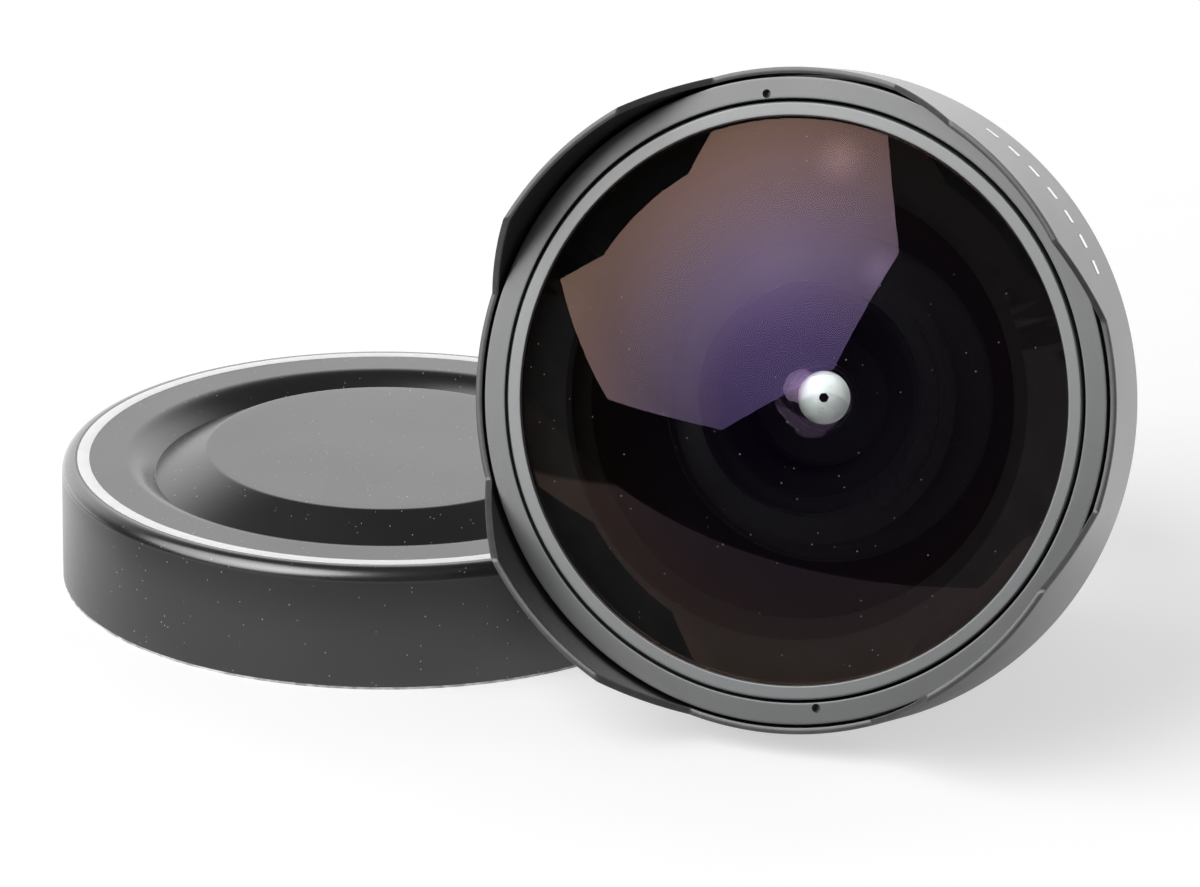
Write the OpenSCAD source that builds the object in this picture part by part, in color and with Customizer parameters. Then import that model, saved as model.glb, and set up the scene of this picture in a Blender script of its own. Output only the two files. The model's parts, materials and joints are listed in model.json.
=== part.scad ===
// Fisheye lens lying on its side, with its slip-on front cap beside it.
// Lens pieces are drawn along +Z with the mount's seat at zero and the front glass up,
// and are then laid down so that they rest on the hood's back edge and the flange.

/* [Hood] */
// Outer radius of the hood
hood_radius = 53; // [51:0.5:58]
// Wall of the hood
hood_wall = 1.05; // [0.8:0.05:1.4]
// Length of the round part of the hood behind the low rim
hood_length = 13.9; // [12:0.1:18]
// Height of the four petals above the low rim
petal_height = 11.3; // [6:0.1:14]
// Angle of the low rim between two petals
petal_gap = 33; // [20:1:40]
// Angle that each sloping petal edge spans
petal_ramp = 14.25; // [8:0.25:18]
// Roll of the petals about the lens axis
petal_roll = 4.3; // [-45:0.1:45]

/* [Front rings and front glass] */
// Width of the flat ring with two spanner holes
spanner_ring_width = 3.45; // [3:0.05:4.5]
// Width of the bezel around the front glass
bezel_width = 2.35; // [2:0.05:3]
// Width of the dark grooves between the front rings
groove_width = 0.5; // [0.3:0.05:0.8]
// Radius of the two spanner holes
spanner_hole_radius = 0.7; // [0.5:0.05:1]
// Roll of the spanner holes from upright
spanner_hole_roll = 11.3; // [-45:0.1:45]
// Radius of curvature of the front glass
glass_curve = 100; // [85:1:140]
// Thickness of the front glass on the axis
glass_thick = 5.8; // [4:0.1:7]

/* [Barrel] */
// Length from the mount's seat to the front rings
body_length = 80.2; // [72:0.2:92]
// Outer radius of the inner lens tube
tube_radius = 24.3; // [21.8:0.1:27]
// Wall of the fixed guide sleeve
guide_wall = 1.6; // [1.2:0.1:2.4]
// Wall of the sliding inner helicoid
helicoid_wall = 2.5; // [2.2:0.1:3]
// Wall of the turning outer helicoid
focus_helicoid_wall = 2.7; // [2:0.1:3.4]
// Wall of the barrel's neck around the guide sleeve
neck_wall = 2.75; // [2.4:0.05:3.4]
// Height of the distance scale band above the outer helicoid
scale_rise = 4.5; // [4.2:0.1:5.5]
// Height of the focus grip above the distance scale band
grip_rise = 2.5; // [1:0.1:3]
// Height of the depth scale ring above the neck
depth_rise = 5; // [4:0.1:6]
// Height of the aperture ring above the neck
aperture_rise = 4; // [3:0.1:5]
// Height of the rear barrel above the neck
rear_rise = 3; // [2.6:0.1:4]
// Share of the body length that the rear barrel takes
rear_share = 0.1933; // [0.18:0.0001:0.22]
// Share of the body length that the aperture ring takes
aperture_share = 0.121; // [0.112:0.001:0.14]
// Share of the body length that the depth scale ring takes
depth_share = 0.081; // [0.075:0.001:0.1]
// Share of the body length that the distance scale band takes
scale_share = 0.0711; // [0.064:0.0001:0.085]

/* [Mount] */
// Height of the flange rim above the rear barrel
flange_rise = 1; // [0.5:0.1:2]
// Thickness of the flange
flange_thick = 4.2; // [3:0.1:5]
// Length of the spigot behind the seat
spigot_length = 7; // [5:0.1:9]
// Width of the flange's flat seat around the spigot
seat_width = 4.8; // [4.4:0.1:5.2]
// Wall of the spigot
spigot_wall = 5.9; // [5.2:0.1:6.2]
// Height of the three bayonet wings above the spigot
wing_rise = 1.8; // [1:0.1:2]
// Thickness of the bayonet wings
wing_thick = 2.4; // [1.5:0.1:3]

/* [Focusing] */
// Travel of the front unit from far to near
focus_travel = 4.2; // [2:0.1:5]

/* [Iris] */
// Radius of the fully open stop as a share of the tube radius
stop_share = 0.4239; // [0.4:0.0001:0.428]
// Turn of the aperture ring from closed to open
iris_throw = 45; // [40:1:46]
// Turn of each blade from open to closed
blade_turn = 26.5; // [26:0.5:30]
// Thickness of a blade
blade_thick = 0.12; // [0.08:0.01:0.15]

/* [Cap] */
// Wall of the cap's side
cap_wall = 0.8; // [0.7:0.1:1.4]
// Thickness of the cap's top
cap_top = 1; // [0.7:0.1:1.4]
// Height of the cap to its flat rim
cap_height = 20.8; // [18:0.1:26]
// Height of the cap's middle above the flat rim
cap_plateau_rise = 1.4; // [0.5:0.1:3]
// Depth of the cap's ring-shaped dip
cap_dip = 3; // [2:0.1:5]
// Thickness of the felt lining
felt_thick = 0.6; // [0.4:0.1:0.8]
// How far the cap's edge tucks under the barrel
cap_tuck = 4.4; // [0:0.1:5.8]

/* [Hidden] */
$fn = 96;

// Clearances
slide_gap = 0.3;
turn_gap = 0.1;
seat_gap = 0.05;
glue_gap = 0.02;
over = 1;

// Radii of the nested front rings
hood_in = hood_radius - hood_wall;
ring_out = hood_in - groove_width;
ring_in = ring_out - spanner_ring_width;
bezel_out = ring_in - groove_width;
glass_radius = bezel_out - bezel_width;
bezel_lip = 1.2;
glass_edge = glass_radius + bezel_lip;

// Radii of the nested sleeves, from the lens tube outwards
guide_in = tube_radius + slide_gap;
guide_out = guide_in + guide_wall;
helicoid_in = guide_out + slide_gap;
helicoid_out = helicoid_in + helicoid_wall;
focus_helicoid_in = helicoid_out + slide_gap;
focus_helicoid_out = focus_helicoid_in + focus_helicoid_wall;
neck_in = guide_out + seat_gap;
neck_radius = neck_in + neck_wall;
scale_radius = focus_helicoid_out + scale_rise;
focus_radius = scale_radius + grip_rise;
depth_radius = neck_radius + depth_rise;
aperture_radius = neck_radius + aperture_rise;
rear_radius = neck_radius + rear_rise;
flange_radius = rear_radius + flange_rise;
spigot_radius = flange_radius - seat_width;
mount_bore = spigot_radius - spigot_wall;

// Heights along the axis above the mount's seat
front_z = body_length;
hood_back_z = front_z - hood_length;
rear_length = rear_share * body_length;
aperture_length = aperture_share * body_length;
depth_length = depth_share * body_length;
scale_length = scale_share * body_length;
bell_length = 0.1384 * body_length;
neck_z = flange_thick + rear_length;
aperture_z = neck_z + slide_gap;
depth_z = aperture_z + aperture_length + slide_gap;
neck_top_z = depth_z + depth_length;
seat_thick = 0.6;
focus_z = neck_top_z + 0.5;
grip_z = focus_z + scale_length;
bell_floor_z = hood_back_z - bell_length;
focus_top_z = bell_floor_z - 0.5;

// The lens rests on the hood's back edge and on the first of these edges that meets the table
back_edges = [
    [0, flange_radius], [aperture_z, aperture_radius], [depth_z, depth_radius],
    [focus_z, scale_radius], [grip_z, focus_radius]
];
tilt = min([for (e = back_edges) atan((hood_radius - e[1]) / (hood_back_z - e[0]))]);
lens_lift = hood_radius * cos(tilt) - hood_back_z * sin(tilt);

// Outline of the cap
cap_in = hood_radius + turn_gap + felt_thick;
cap_radius = cap_in + cap_wall;
cap_edge = 1.2;
cap_rim_width = 10.6;
cap_dip_width = 5.1;
cap_slope_width = 8.5;
cap_dip_outer = cap_radius - cap_rim_width;
cap_dip_inner = cap_dip_outer - cap_dip_width;
cap_plateau = cap_dip_inner - cap_slope_width;
felt_low = 1;
felt_length = 8.2;

// Places on the table, centred on the whole group
cap_side = cap_radius + depth_radius - cap_tuck;
cap_set_back = 26.4;
cap_back = hood_length + cap_set_back;
lowest_corner = petal_gap / 2 + petal_ramp - abs(petal_roll);
petal_reach = hood_radius * cos(lowest_corner) * sin(tilt) + (front_z + petal_height) * cos(tilt);
cap_reach = cap_back + cap_radius - front_z * cos(tilt);
lens_x = (cap_side + cap_radius - hood_radius) / 2;
lens_y = (petal_reach - cap_reach) / 2;

// Front glass, as distances behind the front rings
glass_drop = 0.3;
glass_centre = glass_drop + sqrt(pow(glass_curve, 2) - pow(glass_radius, 2));
glass_inner_curve = 38;
glass_inner_centre = glass_centre - glass_curve + glass_thick + glass_inner_curve;
glass_rim = 6;
glass_boss = glass_edge - 10.85;
glass_back = 13;
seal_thick = 0.35;
ring_depth = 2.5;
cell_pocket = glass_rim + seal_thick + seat_gap;
cell_flange = 9.2;
boss_pocket = glass_back + 1.2;

// Second element, behind the front rings
second_radius = tube_radius - 0.5;
second_front = 9;
second_curve = 70;
second_inner_curve = second_radius - 1.8;
second_thick = 3.2;
second_back = 23.9;
second_bore = second_radius + turn_gap;
second_wall = 2.4;
second_lip = second_radius - 4.2;

// Glass and iris keep their thickness, and the air between them takes up the body length
doublet_deep = 9.5;
iris_deep = 5.2;
rear_seat = 1.2;
rear_pair_thick = 6.8;
last_pair_thick = 7.4;
rear_retainer_thick = 2.3;
filter_high_z = 4.2;
air_length = body_length - second_back - doublet_deep - iris_deep - rear_seat - rear_pair_thick
    - last_pair_thick - rear_retainer_thick - filter_high_z;
front_air = 0.538 * air_length;
spacer_length = 0.203 * air_length;

// Front doublet and stop, behind the front rings
stop_radius = stop_share * tube_radius;
doublet_radius = stop_radius + 1.6;
doublet_bore = doublet_radius + turn_gap;
doublet_top = second_back + front_air;
doublet_front = doublet_top + 2;
doublet_curve = curve_over(doublet_radius, 1.8);
cement_curve = curve_over(doublet_radius, 2.46);
cement_back = doublet_front + 5.1;
doublet_back = cement_back + 1.6;
cell_back = doublet_top + doublet_deep;
iris_plate = 1;
blade_pitch = 0.2;
blades_front = cell_back + iris_plate + turn_gap;
drive_front = cell_back + 2.5;
drive_thick = 1.2;
iris_floor = drive_front + drive_thick + slide_gap;
iris_back = cell_back + iris_deep;

// Iris blades: crescents that swing on pivots outside their own ring
blade_count = 6;
blade_in = stop_radius + 0.4;
blade_band = 0.2963 * tube_radius;
blade_out = blade_in + blade_band;
blade_span = 116;
blade_root = 6;
pivot_radius = blade_out + 1.7;
pivot_pin = 0.6;
drive_pin = 0.5;
drive_arm = 3.6;
lug_width = 2.4;
drive_ring_in = pivot_radius - 3;
drive_ring_out = tube_radius - 1.2;
housing_in = drive_ring_out + 0.2;
slot_steps = 12;

// Rod that carries the aperture ring's turn to the iris
rod_radius = 0.8;
rod_reach = drive_ring_out - 1.6;
rod_low_z = aperture_z + 1;
rod_angle = -2.6;
fork_low_z = rod_low_z + focus_travel + 0.8;
fork_thick = 2;
sleeve_z = fork_low_z + fork_thick + 1;
fork_width = 4.4;
fork_tip = rod_reach - 1.3;
fork_root = neck_radius + 1.5;
fork_margin = 6.5;

// Rear group, behind the front rings
rear_cell_radius = rod_reach - 3;
rear_bore = rear_cell_radius - 3.5;
rear_glass_radius = rear_bore - turn_gap;
rear_lip = rear_bore - 2;
rear_cell_low_z = 0.5;
rear_flare = mount_bore - 0.8;
rear_flare_top_z = 5.5;
rear_front = iris_back + rear_seat;
fifth_curve = curve_over(rear_glass_radius, 1.88);
fifth_back = rear_front + 4.4;
sixth_curve = curve_over(rear_glass_radius, 2.54);
sixth_back = rear_front + rear_pair_thick;
spacer_back = sixth_back + spacer_length;
seventh_curve = curve_over(rear_glass_radius, 2);
seventh_back = spacer_back + 5;
eighth_curve = curve_over(rear_glass_radius, 2.8);
eighth_back = spacer_back + last_pair_thick;
retainer_back = eighth_back + rear_retainer_thick;
rear_ring_in = rear_bore - 1.8;
filter_radius = rear_flare - 2.75;
filter_low_z = -1.5;
filter_glass_radius = filter_radius - 2.55;
filter_glass_thick = 1.6;

// Helicoid details
bell_floor_thick = 2.5;
bell_rim = focus_radius + 1;
key_width = 4;
key_length = 0.32 * (bell_floor_z - neck_top_z);
key_top_z = bell_floor_z - 3.2;
screw_radius = 0.75;
screw_head = 1.1;
screw_circle = (helicoid_in + helicoid_out) / 2;
keeper_wall = 1;
keeper_in = focus_helicoid_out + 0.3;
trap_radius = focus_helicoid_out + 1.2;
trap_thick = 1.1;
trap_z = neck_top_z + seat_thick + 0.2;
keeper_z = trap_z + trap_thick + 0.2;
seat_radius = trap_radius + 0.2;
keeper_out = seat_radius + keeper_wall;
ring_step_z = keeper_z + keeper_wall + 0.3;

// Rear barrel details
set_screw = 0.8;
set_screw_count = 3;
detent_z = aperture_z + 4.9;
detent_angle = 200;
ball_radius = 0.9;
ball_centre = neck_radius - 0.4;
ball_hole = ball_radius + turn_gap;
ball_hole_low = guide_in + 1.3;
detent_depth = ball_centre + ball_radius + turn_gap;
detent_notch = 0.4;
detent_count = 8;
pin_circle = spigot_radius - 1.6;
pin_angle = 140;
stop_pin = 0.9;
stop_pin_low_z = -spigot_length - 3;
stop_pin_high_z = flange_thick + 9.8;
collar_radius = 1.5;
collar_thick = 1;
spring_hole = 1.6;
spring_top_z = neck_z - 1.7;
switch_angle = 70;
switch_z = flange_thick + 5;
switch_height = 4.4;
switch_slot = 2.4;
switch_turn = 14;
flange_screw_circle = (spigot_radius + flange_radius) / 2 + 0.1;
flange_screw = 0.9;
flange_head = 1.5;
flange_head_deep = 1.2;
flange_screw_deep = 6;
flange_screw_angles = [45, 75, 165, 195, 285, 315];
wing_count = 3;
wing_z = 0.5 - spigot_length;
wing_sweep = 45;

// Radius of curvature of a glass face that falls back by a sag at its rim
function curve_over(rim, sag) = (pow(rim, 2) + pow(sag, 2)) / (2 * sag);

// Points given as radius and distance behind the front rings
function from_front(points) = [for (p = points) [p[0], front_z - p[1]]];

// Places of one blade's drive pin as the blade swings by an angle from open
function drive_place(swing) =
    let (arm = swing - 90 - blade_turn / 2)
    [pivot_radius + drive_arm * cos(arm), drive_arm * sin(arm)];

// Centre line of one cam slot in the drive ring, from closed to open
function slot_place(share) =
    let (p = drive_place(blade_turn * (1 - share)), a = -iris_throw * share)
    [p[0] * cos(a) - p[1] * sin(a), p[0] * sin(a) + p[1] * cos(a)];

// One edge of the cam slot, a set distance to one side of its centre line
function slot_edge(side) = [
    for (i = [0 : slot_steps])
        let (p = slot_place(i / slot_steps), q = slot_place((i + 0.01) / slot_steps), d = q - p)
        p + side * [-d[1], d[0]] / norm(d)
];

function reversed(list) = [for (i = [len(list) - 1 : -1 : 0]) list[i]];

// Points around the wire of a coil spring along +Z
function coil_rings(coil, wire, turns, length) = [
    for (i = [0 : turns * 8])
        let (a = i * 45, centre = [coil * cos(a), coil * sin(a), length * i / (turns * 8)])
        [for (j = [0 : 5]) centre + wire * [cos(a) * cos(j * 60), sin(a) * cos(j * 60), sin(j * 60)]]
];

// Faces that join each ring of six points to the next, with closed ends
function coil_faces(count) = concat(
    [[for (j = [0 : 5]) j]],
    [for (i = [0 : count - 2]) for (j = [0 : 5]) let (k = (j + 1) % 6, b = i * 6)
        each [[b + j, b + 6 + j, b + k], [b + k, b + 6 + j, b + 6 + k]]],
    [[for (j = [5 : -1 : 0]) (count - 1) * 6 + j]]
);

module laid_down() {
    translate([lens_x, lens_y, lens_lift]) rotate([90 - tilt, 0, 0]) children();
}

module turned(points) {
    rotate_extrude() polygon(points);
}

module tube(inner, outer, low, high) {
    turned([[inner, low], [outer, low], [outer, high], [inner, high]]);
}

module sector(inner, outer, low, high, start, sweep) {
    rotate([0, 0, start]) rotate_extrude(angle = sweep)
        polygon([[inner, low], [outer, low], [outer, high], [inner, high]]);
}

module around(count, start = 0) {
    for (i = [0 : count - 1]) rotate([0, 0, start + i * 360 / count]) children();
}

// Round bar that points away from the axis
module spoke(radius, inner, outer, z) {
    translate([inner, 0, z]) rotate([0, 90, 0]) cylinder(r = radius, h = outer - inner);
}

module ball_behind(curve, centre) {
    translate([0, 0, front_z - centre]) sphere(r = curve, $fn = 180);
}

module disc_behind(radius, near, far) {
    translate([0, 0, front_z - far]) cylinder(r = radius, h = far - near);
}

module coil(coil_radius, wire, turns, length) {
    rings = coil_rings(coil_radius, wire, turns, length);
    polyhedron([for (ring = rings) each ring], coil_faces(len(rings)));
}

// Front shell and rings

module petal_gaps() {
    low_half = hood_radius * sin(petal_gap / 2);
    high_half = hood_radius * sin(petal_gap / 2 + petal_ramp);
    spread = (high_half - low_half) / petal_height;
    top = petal_height + over;
    around(4, petal_roll) translate([0, 0, front_z]) rotate([90, 0, 90])
        linear_extrude(height = hood_radius + over) polygon([
            [-low_half, 0], [low_half, 0],
            [low_half + spread * top, top], [-low_half - spread * top, top]
        ]);
}

module petal_hood() {
    color("dimgray") laid_down() difference() {
        tube(hood_in, hood_radius, hood_back_z, front_z + petal_height);
        petal_gaps();
    }
}

module front_barrel() {
    seat = hood_in - seat_gap;
    well = ring_in - seat_gap;
    floor_front = front_z - bell_floor_z - bell_floor_thick;
    floor_back = front_z - bell_floor_z;
    color("dimgray") laid_down() difference() {
        turned(from_front([
            [seat, cell_flange], [seat, hood_length], [hood_radius - 0.4, hood_length],
            [bell_rim + 1, floor_back - 2], [bell_rim, floor_back - 1], [bell_rim, floor_back],
            [helicoid_in + 0.2, floor_back], [helicoid_in + 0.2, floor_front],
            [bell_rim - 2, floor_front], [well, hood_length + 0.3], [well, cell_flange]
        ]));
        helicoid_screw_holes();
    }
}

module spanner_ring() {
    hole_circle = ring_in + spanner_hole_radius + 0.2;
    color("gray") laid_down() difference() {
        tube(ring_in, ring_out, front_z - ring_depth, front_z);
        around(2, 90 + spanner_hole_roll) translate([hole_circle, 0, front_z - ring_depth + 0.6])
            cylinder(r = spanner_hole_radius, h = ring_depth);
    }
}

module front_bezel() {
    color("slategray") laid_down() turned(from_front([
        [glass_radius, glass_drop - seat_gap], [glass_radius + 0.2, -glass_drop],
        [bezel_out - 0.2, -glass_drop], [bezel_out, -0.1], [bezel_out, ring_depth],
        [glass_edge + 0.15, ring_depth], [glass_edge + 0.15, glass_drop + 0.6]
    ]));
}

module front_element() {
    color("midnightblue", 0.5) laid_down() difference() {
        intersection() {
            union() {
                disc_behind(glass_edge, -glass_curve / 4, glass_rim);
                disc_behind(glass_boss, 0, glass_back);
            }
            ball_behind(glass_curve, glass_centre);
        }
        ball_behind(glass_inner_curve, glass_inner_centre);
    }
}

module front_seal() {
    color("black") laid_down()
        tube(glass_boss + 1, glass_edge - 0.3, front_z - glass_rim - seal_thick, front_z - glass_rim);
}

module front_cell() {
    boss_bore = glass_boss + 0.7;
    tube_top = second_front + 1.8;
    second_out = second_bore + second_wall;
    second_seat = second_back + turn_gap;
    color("#202020") laid_down() turned(from_front([
        [ring_out, ring_depth], [glass_edge + 0.15, ring_depth], [glass_edge + 0.15, cell_pocket],
        [boss_bore, cell_pocket], [boss_bore, boss_pocket], [second_out, boss_pocket],
        [second_out, tube_top], [second_bore, tube_top], [second_bore, second_seat],
        [second_lip, second_seat], [second_lip, second_seat + 1.5], [doublet_bore, doublet_top],
        [doublet_bore, doublet_back + turn_gap], [stop_radius + 0.3, doublet_back + turn_gap],
        [stop_radius + 0.3, cell_back], [tube_radius, cell_back], [tube_radius, second_seat + 2],
        [second_out, second_seat + 2], [second_out, second_back - 5.4],
        [second_out + 2.2, second_back - 6.9], [boss_bore + 4, second_back - 6.9],
        [ring_in - 0.7, cell_flange + 2.8], [ring_in - 0.7, cell_flange], [ring_out, cell_flange]
    ]));
}

// Glass and rings of the front group

module second_element() {
    color("midnightblue", 0.5) laid_down() difference() {
        intersection() {
            disc_behind(second_radius, second_front - over, second_back);
            ball_behind(second_curve, second_front + second_curve);
        }
        ball_behind(second_inner_curve, second_front + second_thick + second_inner_curve);
    }
}

module second_retainer() {
    inner = second_radius - 2.5;
    top = second_front + 1.6;
    function sag(r) = second_front + second_curve - sqrt(pow(second_curve, 2) - pow(r, 2));
    color("black") laid_down() turned(from_front([
        [inner, top], [second_radius + seat_gap, top],
        [second_radius + seat_gap, sag(second_radius) - seat_gap], [inner, sag(inner) - seat_gap]
    ]));
}

module third_element() {
    color("midnightblue", 0.5) laid_down() intersection() {
        disc_behind(doublet_radius, doublet_front - over, cement_back + over);
        ball_behind(doublet_curve, doublet_front + doublet_curve);
        ball_behind(cement_curve, cement_back - cement_curve);
    }
}

module fourth_element() {
    color("midnightblue", 0.5) laid_down() difference() {
        disc_behind(doublet_radius, doublet_front, doublet_back);
        ball_behind(cement_curve + glue_gap, cement_back - cement_curve);
    }
}

module third_retainer() {
    inner = doublet_radius - 1;
    top = doublet_top + 0.6;
    function sag(r) = doublet_front + doublet_curve - sqrt(pow(doublet_curve, 2) - pow(r, 2));
    color("black") laid_down() turned(from_front([
        [inner, top], [doublet_radius + seat_gap, top],
        [doublet_radius + seat_gap, sag(doublet_radius) - seat_gap], [inner, sag(inner) - seat_gap]
    ]));
}

// Iris

module iris_cover() {
    color("#202020") laid_down() difference() {
        tube(stop_radius, housing_in - seat_gap, front_z - cell_back - iris_plate, front_z - cell_back);
        around(blade_count) translate([pivot_radius, 0, front_z - cell_back - iris_plate - over])
            cylinder(r = pivot_pin + seat_gap, h = iris_plate + 2 * over);
    }
}

module iris_housing() {
    slot_half = rod_radius + slide_gap;
    color("#303030") laid_down() difference() {
        union() {
            tube(housing_in, tube_radius, front_z - iris_back, front_z - cell_back);
            tube(rear_lip - 0.5, housing_in + seat_gap, front_z - iris_back, front_z - iris_floor);
        }
        sector(rod_reach - slot_half, rod_reach + slot_half, front_z - iris_back - over,
            front_z - iris_floor + over, rod_angle, iris_throw);
        for (a = [rod_angle, rod_angle + iris_throw]) rotate([0, 0, a])
            translate([rod_reach, 0, front_z - iris_back - over])
                cylinder(r = slot_half, h = iris_back - iris_floor + 2 * over);
    }
}

module cam_slot() {
    half = drive_pin + 2 * seat_gap;
    low = front_z - drive_front - drive_thick - over;
    deep = drive_thick + 2 * over;
    translate([0, 0, low]) linear_extrude(height = deep)
        polygon(concat(slot_edge(half), reversed(slot_edge(-half))));
    for (share = [0, 1]) translate([slot_place(share)[0], slot_place(share)[1], low])
        cylinder(r = half, h = deep);
}

module iris_drive_ring() {
    color("silver") laid_down() union() {
        difference() {
            tube(drive_ring_in, drive_ring_out, front_z - drive_front - drive_thick, front_z - drive_front);
            around(blade_count) cam_slot();
        }
        rotate([0, 0, rod_angle]) translate([rod_reach, 0, rod_low_z])
            cylinder(r = rod_radius, h = front_z - drive_front - rod_low_z);
    }
}

// One blade at the open place of the first pivot, with its own level in the stack
module blade(level) {
    top = front_z - blades_front - level * blade_pitch;
    low = top - blade_thick;
    drive = drive_place(0);
    arm = atan2(drive[1], drive[0] - pivot_radius);
    sector(blade_in, blade_out, low, top, -blade_root, blade_span + blade_root);
    translate([blade_out - lug_width, -lug_width / 2, low])
        cube([pivot_radius - blade_out + lug_width, lug_width, blade_thick]);
    translate([pivot_radius, 0, low]) cylinder(r = lug_width / 2, h = blade_thick);
    translate([pivot_radius, 0, low]) rotate([0, 0, arm]) translate([0, -lug_width / 2, 0])
        cube([drive_arm, lug_width, blade_thick]);
    translate([drive[0], drive[1], low]) cylinder(r = lug_width / 2, h = blade_thick);
    translate([pivot_radius, 0, low])
        cylinder(r = pivot_pin, h = front_z - cell_back - turn_gap - low);
    translate([drive[0], drive[1], front_z - drive_front - drive_thick + turn_gap])
        cylinder(r = drive_pin, h = top - (front_z - drive_front - drive_thick + turn_gap));
}

module iris_blade(number) {
    color("whitesmoke") laid_down() rotate([0, 0, (number - 1) * 360 / blade_count])
        translate([pivot_radius, 0, 0]) rotate([0, 0, blade_turn]) translate([-pivot_radius, 0, 0])
            blade(number - 1);
}

// Rear group

module rear_cell() {
    color("#202020") laid_down() turned([
        [rear_lip, front_z - iris_back], [rear_cell_radius, front_z - iris_back],
        [rear_cell_radius, rear_flare_top_z], [rear_flare, rear_flare_top_z],
        [rear_flare, rear_cell_low_z], [filter_radius, rear_cell_low_z],
        [filter_radius, filter_high_z + seat_gap], [rear_bore, filter_high_z + seat_gap],
        [rear_bore, front_z - rear_front], [rear_lip, front_z - rear_front]
    ]);
}

module fifth_element() {
    color("midnightblue", 0.5) laid_down() intersection() {
        disc_behind(rear_glass_radius, rear_front, fifth_back + over);
        ball_behind(fifth_curve, rear_front + fifth_curve);
        ball_behind(sixth_curve, fifth_back - sixth_curve);
    }
}

module sixth_element() {
    color("midnightblue", 0.5) laid_down() difference() {
        disc_behind(rear_glass_radius, rear_front, sixth_back);
        ball_behind(sixth_curve + glue_gap, fifth_back - sixth_curve);
    }
}

module rear_spacer() {
    color("black") laid_down()
        tube(rear_ring_in, rear_glass_radius, front_z - spacer_back, front_z - sixth_back);
}

module seventh_element() {
    color("midnightblue", 0.5) laid_down() intersection() {
        disc_behind(rear_glass_radius, spacer_back, seventh_back + over);
        ball_behind(seventh_curve, spacer_back + seventh_curve);
        ball_behind(eighth_curve, seventh_back - eighth_curve);
    }
}

module eighth_element() {
    color("midnightblue", 0.5) laid_down() difference() {
        disc_behind(rear_glass_radius, spacer_back + over, eighth_back);
        ball_behind(eighth_curve + glue_gap, seventh_back - eighth_curve);
    }
}

module rear_retainer() {
    color("black") laid_down()
        tube(rear_ring_in, rear_glass_radius, front_z - retainer_back, front_z - eighth_back);
}

module filter_rim() {
    color("black") laid_down() turned([
        [filter_glass_radius - 0.8, filter_low_z], [filter_radius - seat_gap, filter_low_z],
        [filter_radius - seat_gap, filter_high_z], [filter_glass_radius, filter_high_z],
        [filter_glass_radius, filter_low_z + 1], [filter_glass_radius - 0.8, filter_low_z + 1]
    ]);
}

module filter_glass() {
    color("lightblue", 0.4) laid_down() translate([0, 0, filter_low_z + 1])
        cylinder(r = filter_glass_radius - seat_gap, h = filter_glass_thick);
}

// Focusing

module helicoid_screw_holes() {
    around(4, 45) translate([screw_circle, 0, bell_floor_z - 4])
        cylinder(r = screw_radius, h = bell_floor_thick + 4 + over);
}

module inner_helicoid() {
    low = neck_top_z + seat_thick + 0.5;
    slot = key_width + turn_gap * 2;
    slot_low = key_top_z - key_length - focus_travel - 0.5;
    color("goldenrod") laid_down() difference() {
        tube(helicoid_in, helicoid_out, low, bell_floor_z);
        around(2, 90) translate([helicoid_in - over, -slot / 2, slot_low])
            cube([helicoid_wall + 2 * over, slot, key_top_z + 0.5 - slot_low]);
        helicoid_screw_holes();
    }
}

module helicoid_screws() {
    top = bell_floor_z + bell_floor_thick;
    color("silver") laid_down() around(4, 45) translate([screw_circle, 0, 0]) difference() {
        union() {
            translate([0, 0, bell_floor_z - 4]) cylinder(r = screw_radius, h = bell_floor_thick + 4);
            translate([0, 0, top]) cylinder(r = screw_head, h = 0.9);
        }
        translate([-screw_head, -0.15, top + 0.5]) cube([2 * screw_head, 0.3, over]);
    }
}

module focus_helicoid() {
    color("goldenrod") laid_down() difference() {
        turned([
            [focus_helicoid_in, trap_z], [trap_radius, trap_z], [trap_radius, trap_z + trap_thick],
            [focus_helicoid_out, trap_z + trap_thick], [focus_helicoid_out, focus_top_z - 0.5],
            [focus_helicoid_in, focus_top_z - 0.5]
        ]);
        focus_screw_bars();
    }
}

// Grub screws that hold the focus ring on its helicoid
module focus_screw_bars() {
    around(set_screw_count, 30)
        spoke(set_screw, focus_helicoid_in + 1, scale_radius - 0.2, (ring_step_z + grip_z) / 2 + 0.2);
}

module focus_ring() {
    bore = focus_helicoid_out + seat_gap;
    color("#303030") laid_down() difference() {
        turned([
            [keeper_out + slide_gap, focus_z], [scale_radius, focus_z], [scale_radius, grip_z],
            [focus_radius, grip_z + 0.6], [focus_radius, focus_top_z - 0.6],
            [focus_radius - 0.6, focus_top_z], [bore, focus_top_z], [bore, ring_step_z],
            [keeper_out + slide_gap, ring_step_z]
        ]);
        focus_screw_bars();
        around(set_screw_count, 30)
            spoke(set_screw, scale_radius - 0.3, scale_radius + over, (ring_step_z + grip_z) / 2 + 0.2);
    }
}

module focus_set_screws() {
    color("silver") laid_down() focus_screw_bars();
}

module focus_seat() {
    color("silver") laid_down() turned([
        [neck_in + 0.5, neck_top_z], [keeper_out, neck_top_z], [keeper_out, keeper_z],
        [seat_radius, keeper_z], [seat_radius, neck_top_z + seat_thick],
        [neck_in + 0.5, neck_top_z + seat_thick]
    ]);
}

module focus_keeper() {
    color("silver") laid_down() tube(keeper_in, keeper_out, keeper_z, keeper_z + keeper_wall);
}

module guide_sleeve() {
    color("silver") laid_down() difference() {
        tube(guide_in, guide_out, sleeve_z, key_top_z + 1);
        around(2, 90) spoke(set_screw, guide_in + 0.3, guide_out + over, key_top_z - key_length / 2);
    }
}

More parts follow.
